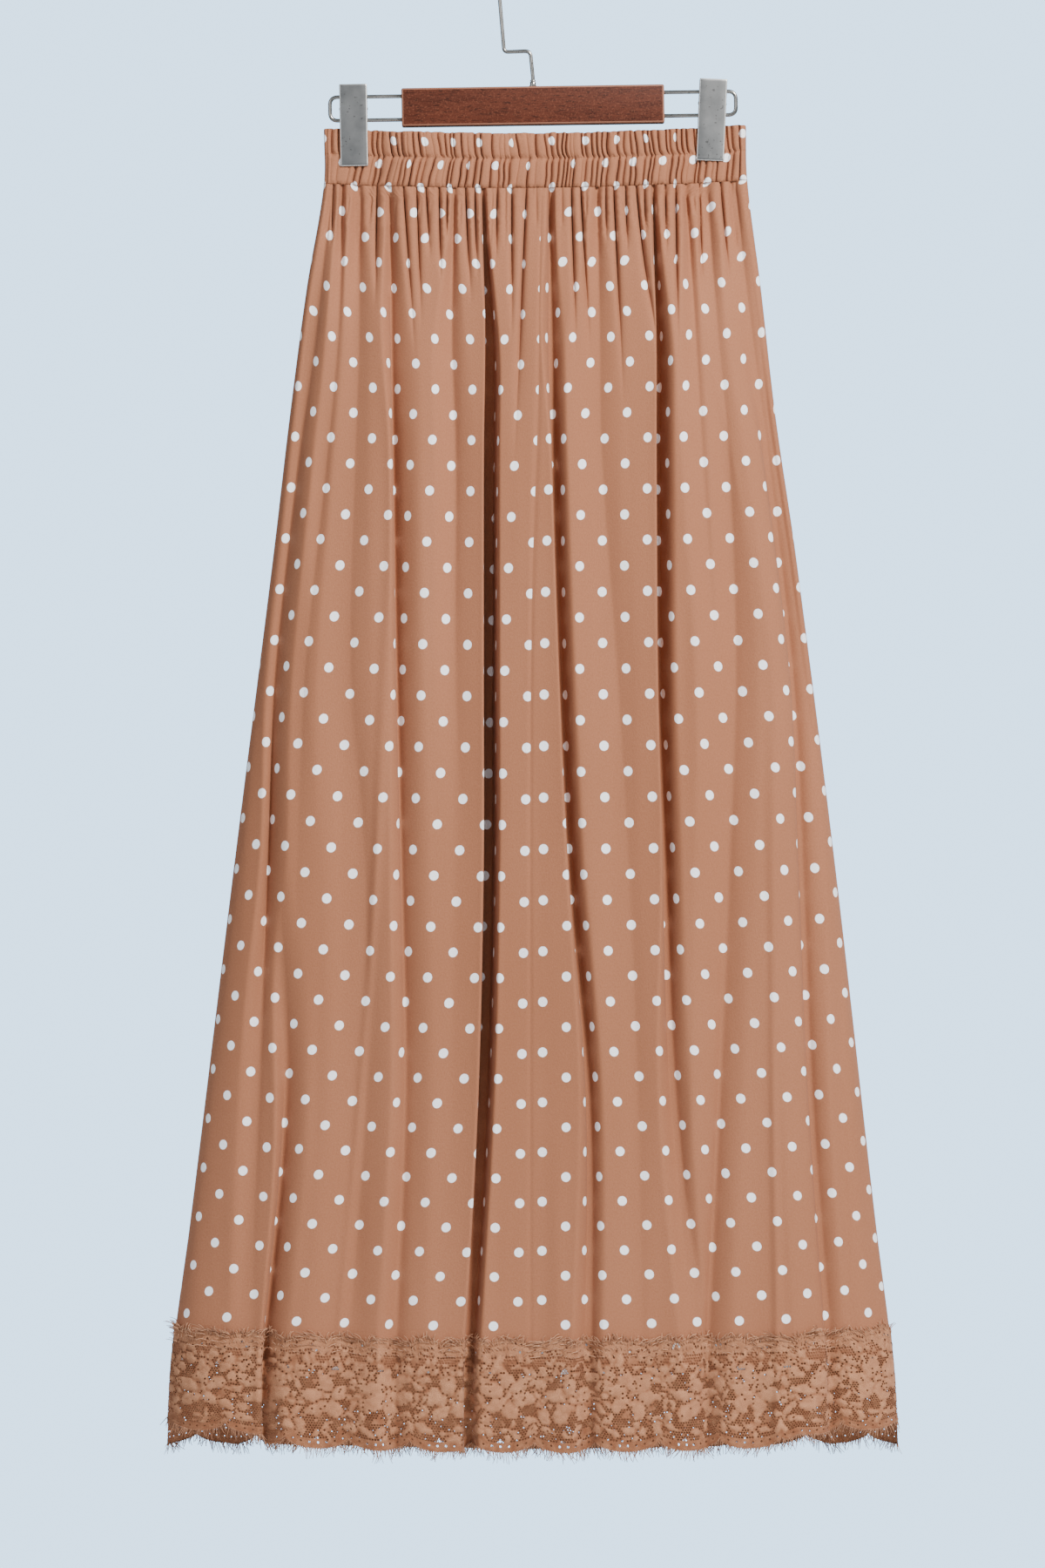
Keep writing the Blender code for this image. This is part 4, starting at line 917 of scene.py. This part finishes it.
def build_lace(name, lace):
    """Net of six-sided cells, most of them filled to petals, with a scalloped lower edge."""
    side, shift = lace.side, lace.shift
    columns = int(lace.full / LACE_CELL)
    rows = int(LACE_LENGTH / (1.5 * LACE_SIDE))
    scale_x, scale_y = lace.full / (columns - 0.5) / 2, LACE_LENGTH / (3 * rows + 1)
    row, column = [part.ravel() for part in np.meshgrid(np.arange(rows), np.arange(columns), indexing="ij")]
    centre_x, centre_y = 2 * column + 1 + row % 2, 3 * row + 2
    s, down = (centre_x - 1) * scale_x, centre_y * scale_y
    shifted = 0.5 + shift * SCALLOP_WIDTH / 2
    is_open = open_cells(lace, place_of(lace, s) + shifted, s, down, row, column, rows)

    corner_x = np.array([1, 0, -1, -1, 0, 1])
    corner_y = np.array([1, 2, 1, -1, -2, -1])
    wide = 100000
    keys = (centre_y[:, None] + corner_y).astype(np.int64) * wide + centre_x[:, None] + corner_x
    unique, inverse = np.unique(keys.ravel(), return_inverse=True)
    inverse = inverse.reshape(keys.shape)
    hole_s = (centre_x[is_open, None] - 1 + HOLE_SHARE[side] * corner_x) * scale_x
    hole_down = (centre_y[is_open, None] + HOLE_SHARE[side] * corner_y) * scale_y
    all_s = np.concatenate([(unique % wide - 1) * scale_x, hole_s.ravel()])
    all_down = np.concatenate([(unique // wide) * scale_y, hole_down.ravel()])
    best, second = lace_field(place_of(lace, all_s) + shifted, all_down)
    petal = ramp(best, -0.3 * MM, 1.2 * MM) * (1 - 0.7 * (1 - ramp(best - second, 0, 1.4 * MM)))
    crowned = 0.40 * MM + 0.50 * MM * ramp(best, 0.0, 3 * MM)
    fuzz = 0.40 * MM * soft_noise(all_s / (2.3 * MM), all_down / (2.3 * MM), 95 + shift)
    points = lace_points(lace, all_s, all_down, petal * crowned + fuzz)
    # The net's low tone is partly the thread's own colour and partly painted shade; the dip in tone where
    # two petals meet is painted shade in the groove between them.
    solid = np.maximum(petal, 0.6 * (1 - ramp(all_down, DENSE_TOP, DENSE_TOP + 5 * MM)))
    speckle = 0.30 * soft_noise(all_s / 0.003, all_down / 0.003, 97)
    tone = np.clip(0.22 + 0.60 * solid + speckle, 0, 1)

    holes = len(unique) + np.arange(hole_s.size).reshape(-1, 6)
    outer = inverse[is_open]
    rims = np.stack([outer, np.roll(outer, -1, axis=1), np.roll(holes, -1, axis=1), holes], axis=-1)
    faces = inverse[~is_open].tolist() + rims.reshape(-1, 4).tolist()
    if side == BACK:
        faces = [face[::-1] for face in faces]
    loop_uv = np.stack([all_s, all_down], axis=-1)[np.concatenate(faces)]
    return mesh_object(name, points, faces, lace_thread, loop_uv, tone)


# Curly threads over the lace's top edge, row by row: distance down, pitch and longest
TOP_LASHES = ((0.4, 1.05, 9.5), (3.0, 1.8, 6.0), (7.0, 2.8, 5.0), (11, 4.0, 4.0))
LOWER_LASH_PITCH = 1.0
LASH_STEPS = np.linspace(0, 1, 6)


def lash_roots(lace, down, pitch, clump_width, seed):
    """Roots of one row of lashes, and how each clump of them leans, from -1 to 1."""
    s = np.arange(pitch, lace.full - pitch, pitch)
    return zip(lace_points(lace, s, np.full(s.shape, down)), soft_noise(s / clump_width, s * 0, seed))


def build_lashes(name, lace):
    """Eyelash fringe: short threads below the scallops, curly ones over the top edge."""
    rng = np.random.default_rng(101 + lace.shift)
    paths, radii, tones = [], [], []
    for root, clump in lash_roots(lace, LACE_LENGTH, LOWER_LASH_PITCH * MM, 0.013, 207):
        length = (rng.uniform(3.0, 9.0) + 3.0 * max(clump, 0)) * MM
        lean = math.radians(30 * clump + rng.normal(0, 16))
        bend = rng.normal(0, 1.2) * MM
        way = np.array([math.sin(lean), lace.side * rng.uniform(-0.15, 0.35), -math.cos(lean)])
        path = root + np.outer(LASH_STEPS * length, way) + np.outer(LASH_STEPS ** 2, (bend, 0, 0))
        paths.append(path + (0, 0, 1.2 * MM))
        radii.append(0.42 * MM * (1 - 0.55 * LASH_STEPS))
        # Low tones for the lower lashes: a darker colour, partly the thread's own and partly painted shade.
        tones.append(rng.uniform(0.0, 0.4))
    for down, pitch, longest in TOP_LASHES:
        for root, clump in lash_roots(lace, down * MM, pitch * MM, 0.010, 209):
            length = rng.uniform(2.5, longest) * MM
            lean = math.radians(40 * clump + rng.normal(0, 20))
            curl = (3.0 * clump + rng.normal(0, 1.8)) * MM
            way = np.array([math.sin(lean), 0, math.cos(lean)])
            path = root + np.outer(LASH_STEPS * length, way)
            path += np.outer(LASH_STEPS ** 2, (curl, 0, -0.35 * length))
            path[:, 1] += lace.side * (0.25 + rng.uniform(0.2, 1.0) * np.sin(math.pi * LASH_STEPS)) * MM
            paths.append(path + (rng.uniform(-0.5, 0.5) * MM, 0, -1.0 * MM))
            radii.append(0.34 * MM * (1 - 0.4 * LASH_STEPS))
            tones.append(rng.uniform(0.10, 1.0))
    return strands(name, paths, radii, lash_thread, tone=tones)


# ---------------------------------------------------------------- hanger

WIRE_RADIUS = 1.5 * MM
HOOK_BEND_RADIUS = 27.0 * MM
HOOK_TIP_ANGLE = math.radians(-35)
HOOK_STEPS = 48
# Corners of the hook's wire above the bar, as (x, z), and the radii of its turns
HOOK_CORNERS = ((0, -106.5), (-2.0, -86.2), (-21.8, -87.0))
HOOK_TURNS = (12 * MM, 4.5 * MM, 3.5 * MM)
HANGER_TILT = math.radians(0.84)
BAR_HEIGHT_Z = -127.9 * MM
BAR_SIZE = (199 * MM, 14 * MM, 29 * MM)
BAR_BEVEL = 1.4 * MM
ROD_SPACING = 17.8 * MM
ROD_REACH = 153.8 * MM
ROD_CORNER_RADIUS = 6.0 * MM
ROD_SOCKET_DEPTH = 12.0 * MM
STEM_SOCKET_DEPTH = 10.0 * MM
FIT_GAP = 0.3 * MM
# Ferrule from its foot up, as (radius, height); the bore's radius is 0 here
FERRULE = ((0, 0.0), (2.8, 0.0), (2.8, 0.6), (2.3, 1.0), (2.3, 3.4), (2.15, 3.6), (1.75, 3.7),
           (1.75, 4.1), (2.1, 4.2), (2.1, 4.7), (1.9, 5.0), (0, 5.0))
CLIP_Z = -140.7 * MM
CLIP_SIZE = (21.0 * MM, 62.0 * MM)
CLIP_LEAN = {"left": math.radians(-1.1), "right": math.radians(2.5)}
CLIP_SHEET = 1.2 * MM
CLIP_JAW_Y = 4.9 * MM
CLIP_CHEEK_HEIGHT = 31.0 * MM
CLIP_CHEEK_DEPTH = 7.4 * MM
CLIP_FLANGE = 0.3 * MM
CLIP_CORNER = 0.9 * MM
PIN_RADIUS = 1.1 * MM
PIN_Y = 1.0 * MM
SPRING_WIDTH = 11.0 * MM
SPRING_SHEET = 0.6 * MM
SPRING_FOOT = 4.2 * MM


def rounded_path(corners, radii, steps=12):
    """Points of a path with each inner corner turned on a small arc."""
    path = [corners[0]]
    for before, corner, after, radius in zip(corners, corners[1:], corners[2:], radii):
        back, ahead = (before - corner).normalized(), (after - corner).normalized()
        reach = radius / math.tan(back.angle(ahead) / 2)
        start, end = corner + back * reach, corner + ahead * reach
        for t in (i / steps for i in range(steps + 1)):
            path.append(start * (1 - t) ** 2 + corner * 2 * t * (1 - t) + end * t * t)
    return path + [corners[-1]]


def tube(name, path, material, matrix=Matrix.Identity(4), sides=20):
    """Round wire along a path, with softly rounded ends."""
    first, last = (path[0] - path[1]).normalized(), (path[-1] - path[-2]).normalized()
    ends = ((0.0, 1.0), (0.35, 0.94), (0.7, 0.72), (0.95, 0.32))
    start = [path[0] - first * WIRE_RADIUS * (1 - out) for out, _ in ends[::-1]]
    finish = [path[-1] - last * WIRE_RADIUS * (1 - out) for out, _ in ends]
    shares = [share for _, share in ends]
    radii = [WIRE_RADIUS * share for share in shares[::-1] + [1.0] * (len(path) - 2) + shares]
    return strands(name, [[matrix @ p for p in start + path[1:-1] + finish]], [radii], material, sides=sides)


def from_builder(name, builder, material, matrix):
    """Object of a bmesh that is put in place, smooth but for its sharp edges."""
    mesh = bpy.data.meshes.new(name)
    bmesh.ops.recalc_face_normals(builder, faces=builder.faces)
    builder.transform(matrix)
    builder.to_mesh(mesh)
    builder.free()
    mesh.shade_smooth()
    mesh.set_sharp_from_angle(angle=math.radians(50))
    return add_object(name, mesh, material)


def rounded_block(name, size, centre, bevel, material, matrix, segments=3):
    """Block with rounded edges whose rounding carries the tone 1, which the materials paint as a highlight.
    """
    builder = bmesh.new()
    bmesh.ops.create_cube(builder, size=1.0)
    bmesh.ops.scale(builder, vec=size, verts=builder.verts)
    bmesh.ops.bevel(builder, geom=builder.edges[:] + builder.verts[:], offset=bevel,
                    segments=segments, profile=0.5, affect="EDGES")
    bmesh.ops.translate(builder, vec=centre, verts=builder.verts)
    item = from_builder(name, builder, material, matrix)
    least = bevel * (min(size) / 2 - bevel)
    turn_back = matrix.to_3x3().inverted()
    tones = []
    for polygon in item.data.polygons:
        flat = max(abs(c) for c in turn_back @ polygon.normal) > 0.999 and polygon.area > least
        tones += [0.0 if flat else 1.0] * polygon.loop_total
    set_tone(item.data, "CORNER", tones)
    return item


def turned(name, profile, material, matrix, sides=36):
    """Closed turned shape from a ring of (radius, height) points."""
    builder = bmesh.new()
    turns = [2 * math.pi * k / sides for k in range(sides)]
    rings = [[builder.verts.new((r * math.cos(t), r * math.sin(t), z)) for r, z in profile] for t in turns]
    for k, a in product(range(sides), range(len(profile))):
        here, after, b = rings[k], rings[(k + 1) % sides], (a + 1) % len(profile)
        builder.faces.new((here[a], after[a], after[b], here[b]))
    return from_builder(name, builder, material, matrix)


def sheet_metal(name, outer, inner, matrix):
    """Bent sheet between its outer and its inner face, each rows of points."""
    builder = bmesh.new()
    out, back = [[[builder.verts.new(p) for p in row] for row in face] for face in (outer, inner)]
    rows, last = range(len(out) - 1), len(out[0]) - 1
    for face, (a, b) in product((out, back), product(rows, range(last))):
        builder.faces.new((face[a][b], face[a][b + 1], face[a + 1][b + 1], face[a + 1][b]))
    for a, b in product(rows, (0, last)):
        builder.faces.new((out[a][b], out[a + 1][b], back[a + 1][b], back[a][b]))
    for a, b in product((0, len(out) - 1), range(last)):
        builder.faces.new((out[a][b], out[a][b + 1], back[a][b + 1], back[a][b]))
    return from_builder(name, builder, satin, matrix)


def build_hook_and_bar():
    hanger = Matrix.Translation((0, 0, BAR_HEIGHT_Z)) @ Matrix.Rotation(-HANGER_TILT, 4, "Y")
    bar = rounded_block("bar_mahogany", BAR_SIZE, (0, 0, 0), BAR_BEVEL, wood, hanger, segments=4)
    dress(bar, "bar_wood", "hanger_bar")
    for side_name, side in (("left", -1), ("right", 1)):
        start, end = side * (BAR_SIZE[0] / 2 - ROD_SOCKET_DEPTH + FIT_GAP), side * ROD_REACH
        level = ROD_SPACING / 2
        loop = ((start, level), (end, level), (end, -level), (start, -level))
        corners = [Vector((x, 0, z)) for x, z in loop]
        path = rounded_path(corners, (ROD_CORNER_RADIUS, ROD_CORNER_RADIUS))
        dress(tube(f"rod_{side_name}_wire", path, wire, hanger), "polished_wire", f"rod_{side_name}")
    bend_centre = Vector((0, 0, WIRE_RADIUS - HOOK_BEND_RADIUS))
    bar_top = BAR_HEIGHT_Z + BAR_SIZE[2] / 2 + FIT_GAP
    corners = [Vector((0, 0, bar_top - STEM_SOCKET_DEPTH))]
    corners += [Vector((x, 0, z)) * MM for x, z in HOOK_CORNERS]
    path = rounded_path(corners + [bend_centre - Vector((HOOK_BEND_RADIUS, 0, 0))], HOOK_TURNS)
    for i in range(1, HOOK_STEPS + 1):
        angle = math.pi + (HOOK_TIP_ANGLE - math.pi) * i / HOOK_STEPS
        path.append(bend_centre + HOOK_BEND_RADIUS * Vector((math.cos(angle), 0, math.sin(angle))))
    dress(tube("hook_wire", path, wire), "polished_wire", "hook")
    profile = [((radius or 1.55) * MM, height * MM) for radius, height in FERRULE]
    collar = turned("ferrule_collar", profile, wire, Matrix.Translation((0, 0, bar_top)))
    dress(collar, "polished_wire", "ferrule")


def clip_face(name, clip, top):
    """Folded plate: a flanged front whose flanges widen into cheeks at the top."""
    half = CLIP_SIZE[0] / 2
    face_y = -CLIP_JAW_Y - CLIP_SHEET
    foot = top - CLIP_SIZE[1]

    def bent_line(depth, inset, level):
        """The U of the plate and its two cheeks at one level."""
        front, side_x = face_y + inset, half - inset
        corner = max(CLIP_CORNER - inset, 0.15 * MM)
        line = [(share * (side_x - corner), front) for share in (0.0, 0.5, 1.0)]
        for angle in (math.pi / 2 * k / 5 for k in range(1, 6)):
            line.append((side_x - corner + corner * math.sin(angle), front + corner * (1 - math.cos(angle))))
        line += [(side_x, face_y + depth * 0.7 + corner * 0.3), (side_x, face_y + depth)]
        return [(-x, y, level) for x, y in line[:0:-1]] + [(x, y, level) for x, y in line]

    rim = (0, 0.25 * MM, 0.8 * MM)
    levels = [foot + up for up in rim] + list(np.linspace(foot + 2 * MM, top - 2 * MM, 40))
    levels += [top - down for down in rim[::-1]]
    outer, inner = [], []
    for level in levels:
        cheek = float(ramp(level, top - CLIP_CHEEK_HEIGHT - 5 * MM, top - CLIP_CHEEK_HEIGHT))
        depth = CLIP_SHEET + CLIP_CHEEK_DEPTH * cheek + CLIP_FLANGE * (1 - cheek)
        chamfer = 0.35 * MM * max(0.0, 1 - min(level - foot, top - level) / rim[-1]) ** 2
        outer.append(bent_line(depth, chamfer, level))
        inner.append(bent_line(depth, CLIP_SHEET, level))

    # Tone 0.8 on the front's bends and rims: a painted highlight along the plate's edges.
    def painted_edge_highlight(x, y, z):
        on_bend = abs(x) > half - CLIP_CORNER + 0.05 * MM
        on_rim = min(z - foot, top - z) < 0.3 * MM
        return 0.8 if (on_bend or on_rim) and y < face_y + CLIP_SHEET + 0.001 * MM else 0.0

    item = sheet_metal(name, outer, inner, clip)
    set_tone(item.data, "POINT", [painted_edge_highlight(*p) for face in (outer, inner) for row in face for p in row])
    return item


def clip_spring(name, clip, top):
    """Leaf spring: a strip bent to a U that holds the tops of face and jaw apart."""
    reach = CLIP_JAW_Y - FIT_GAP
    middle = top - SPRING_FOOT
    line = [(-reach, top - 0.8 * MM), (-reach, middle)]
    for angle in (math.pi + math.pi * i / 16 for i in range(17)):
        line.append((reach * math.cos(angle), middle + 0.55 * reach * math.sin(angle)))
    line.append((reach, top - 2.0 * MM))
    scale = 1 - SPRING_SHEET / reach
    inner = [(y * scale, z + (SPRING_SHEET if z < middle - 1e-6 else 0)) for y, z in line]
    faces = [[[(x, y, z) for y, z in edge] for x in (-SPRING_WIDTH / 2, SPRING_WIDTH / 2)]
             for edge in (line, inner)]
    return sheet_metal(name, *faces, clip)


def build_clip(side_name, side):
    rod_level = CLIP_X * math.tan(HANGER_TILT) * side + BAR_HEIGHT_Z
    clip = Matrix.Translation((side * CLIP_X, 0, rod_level)) @ Matrix.Rotation(CLIP_LEAN[side_name], 4, "Y")
    middle = CLIP_Z - BAR_HEIGHT_Z
    top = middle + CLIP_SIZE[1] / 2
    node = f"clip_{side_name}"
    dress(clip_face(f"{node}_plate", clip, top), "satin_metal", f"{node}_face")
    jaw_width = CLIP_SIZE[0] - 2 * CLIP_SHEET - 2 * FIT_GAP
    jaw = rounded_block(f"{node}_back_jaw", (jaw_width, CLIP_SHEET, CLIP_SIZE[1] - 1.5 * MM),
                        (0, CLIP_JAW_Y + CLIP_SHEET / 2, middle), 0.5 * MM, satin, clip)
    dress(jaw, "satin_metal", f"{node}_jaw")
    half_pin = CLIP_SIZE[0] / 2 + 0.4 * MM
    lower = [(0.05 * MM, -half_pin), (0.8 * MM, -half_pin), (PIN_RADIUS, 0.3 * MM - half_pin)]
    along_x = clip @ Matrix.Translation((0, PIN_Y, 0)) @ Matrix.Rotation(math.pi / 2, 4, "Y")
    pin = turned(f"{node}_hinge_pin", lower + [(r, -z) for r, z in lower[::-1]], satin, along_x, 20)
    dress(pin, "satin_metal", f"{node}_pin")
    dress(clip_spring(f"{node}_leaf_spring", clip, top), "satin_metal", f"{node}_spring")


def dress(piece, slot, *nodes):
    """Name a piece's place on the body and the nodes that it stands for; slot is not used."""
    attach(piece, "root")
    if nodes:
        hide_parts(*nodes)


# ---------------------------------------------------------------- the dressed object

cloth = make_cloth()
lace_thread = make_lace()
lash_thread = make_thread("lash_thread", (0.240, 0.115, 0.070), (0.640, 0.340, 0.200), toned=True)
stitch_thread = make_thread("sewing_thread", (0.26, 0.10, 0.05), (0.36, 0.15, 0.08))
wood = make_wood()
wire = make_metal("plated_wire", (0.25, 0.24, 0.22), (0.33, 0.32, 0.30), 0.20, 0.30, (300.0, 300.0, 300.0))
satin = make_metal("satin_plate", (0.190, 0.192, 0.190), (0.235, 0.237, 0.235), 0.38, 0.46,
                   (900.0, 900.0, 60.0))

front_left, front_right = build_wall(FRONT)
back_piece, = build_wall(BACK)
waistband = build_waistband()
stitches = build_stitches(waistband)
front_laid, back_laid = lay_lace(FRONT, 0), lay_lace(BACK, 1)
front_lace = build_lace("lace_front_net", front_laid)
front_lashes = build_lashes("lace_front_lashes", front_laid)
back_lace = build_lace("lace_back_net", back_laid)
back_lashes = build_lashes("lace_back_lashes", back_laid)

dress(front_left, "skirt_cloth", "front_left")
dress(front_right, "skirt_cloth", "front_right")
dress(back_piece, "skirt_cloth", "back")
dress(waistband, "skirt_cloth", "waistband")
dress(stitches, "skirt_cloth")
dress(front_lace, "lace", "hem_lace_front")
dress(front_lashes, "lace", "lash_front")
dress(back_lace, "lace", "hem_lace_back")
dress(back_lashes, "lace", "lash_back")
build_hook_and_bar()
build_clip("left", -1)
build_clip("right", 1)

# ---------------------------------------------------------------- room, light and camera

FRAME_PX = (1200, 1800)
PIXEL = 0.66 * MM
ORIGIN_PX = (612, -72)
CAMERA_DISTANCE = 5.0
SENSOR_WIDTH = 36.0
FLOOR_Z = -1.45
FLOOR_RADIUS = 1.7
# Lights: direction from the object, height they aim at, distance, size, power and colour
LIGHTS = {
    "key_light": ((0.70, -1.0, 0.72), -0.22, 2.9, 0.5, 178.0, (1.0, 0.975, 0.95)),
    "fill_light": ((-0.9, -1.0, 0.35), -0.40, 3.6, 2.2, 28.0, (0.93, 0.96, 1.0)),
    "back_light": ((0.6, 1.0, 0.5), -0.40, 3.6, 2.2, 60.0, (0.95, 0.97, 1.0)),
}
WORLD_GLOW, WORLD_STRENGTH = (0.86, 0.93, 1.0, 1.0), 0.52
WORLD_SEEN = (1.50, 2.25, 3.05, 1.0)


def make_floor():
    n = Nodes("floor_paint")
    speck = n.noise(n.coords("Object"), 90.0, 3.0)
    n.finish(n.mix(speck, (0.74, 0.77, 0.80), (0.78, 0.81, 0.84)), 0.7)
    mesh = bpy.data.meshes.new("floor")
    builder = bmesh.new()
    bmesh.ops.create_circle(builder, cap_ends=True, segments=96, radius=FLOOR_RADIUS)
    builder.to_mesh(mesh)
    builder.free()
    floor = add_object("floor", mesh, n.material)
    floor.location.z = FLOOR_Z


def make_world():
    """Soft even glow, which the camera sees as a pale wall."""
    world = bpy.data.worlds.new("pale_room")
    bpy.context.scene.world = world
    world.use_nodes = True
    nodes, link = world.node_tree.nodes, world.node_tree.links.new
    glow, seen = nodes["Background"], nodes.new("ShaderNodeBackground")
    glow.inputs["Color"].default_value = WORLD_GLOW
    glow.inputs["Strength"].default_value = WORLD_STRENGTH
    seen.inputs["Color"].default_value = WORLD_SEEN
    blend = nodes.new("ShaderNodeMixShader")
    link(nodes.new("ShaderNodeLightPath").outputs["Is Camera Ray"], blend.inputs["Fac"])
    link(glow.outputs[0], blend.inputs[1])
    link(seen.outputs[0], blend.inputs[2])
    link(blend.outputs[0], nodes["World Output"].inputs["Surface"])


def add_light(name, toward, aim_z, distance, size, power, colour):
    light = bpy.data.lights.new(name, "AREA")
    light.shape = "DISK"
    light.size = size
    light.energy = power
    light.color = colour
    lamp = add_object(name, light)
    way = Vector(toward).normalized()
    lamp.location = Vector((0, 0, aim_z)) + way * distance
    lamp.rotation_euler = way.to_track_quat("Z", "Y").to_euler()


def make_camera():
    camera = bpy.data.cameras.new("camera")
    camera.sensor_width = SENSOR_WIDTH
    camera.lens = SENSOR_WIDTH * CAMERA_DISTANCE / (FRAME_PX[1] * PIXEL)
    camera.clip_end = 50.0
    item = add_object("camera", camera)
    item.location = ((FRAME_PX[0] / 2 - ORIGIN_PX[0]) * PIXEL, -CAMERA_DISTANCE,
                     -(FRAME_PX[1] / 2 - ORIGIN_PX[1]) * PIXEL)
    item.rotation_euler = (math.pi / 2, 0, 0)
    bpy.context.scene.camera = item


make_floor()
make_world()
for light_name, settings in LIGHTS.items():
    add_light(light_name, *settings)
make_camera()
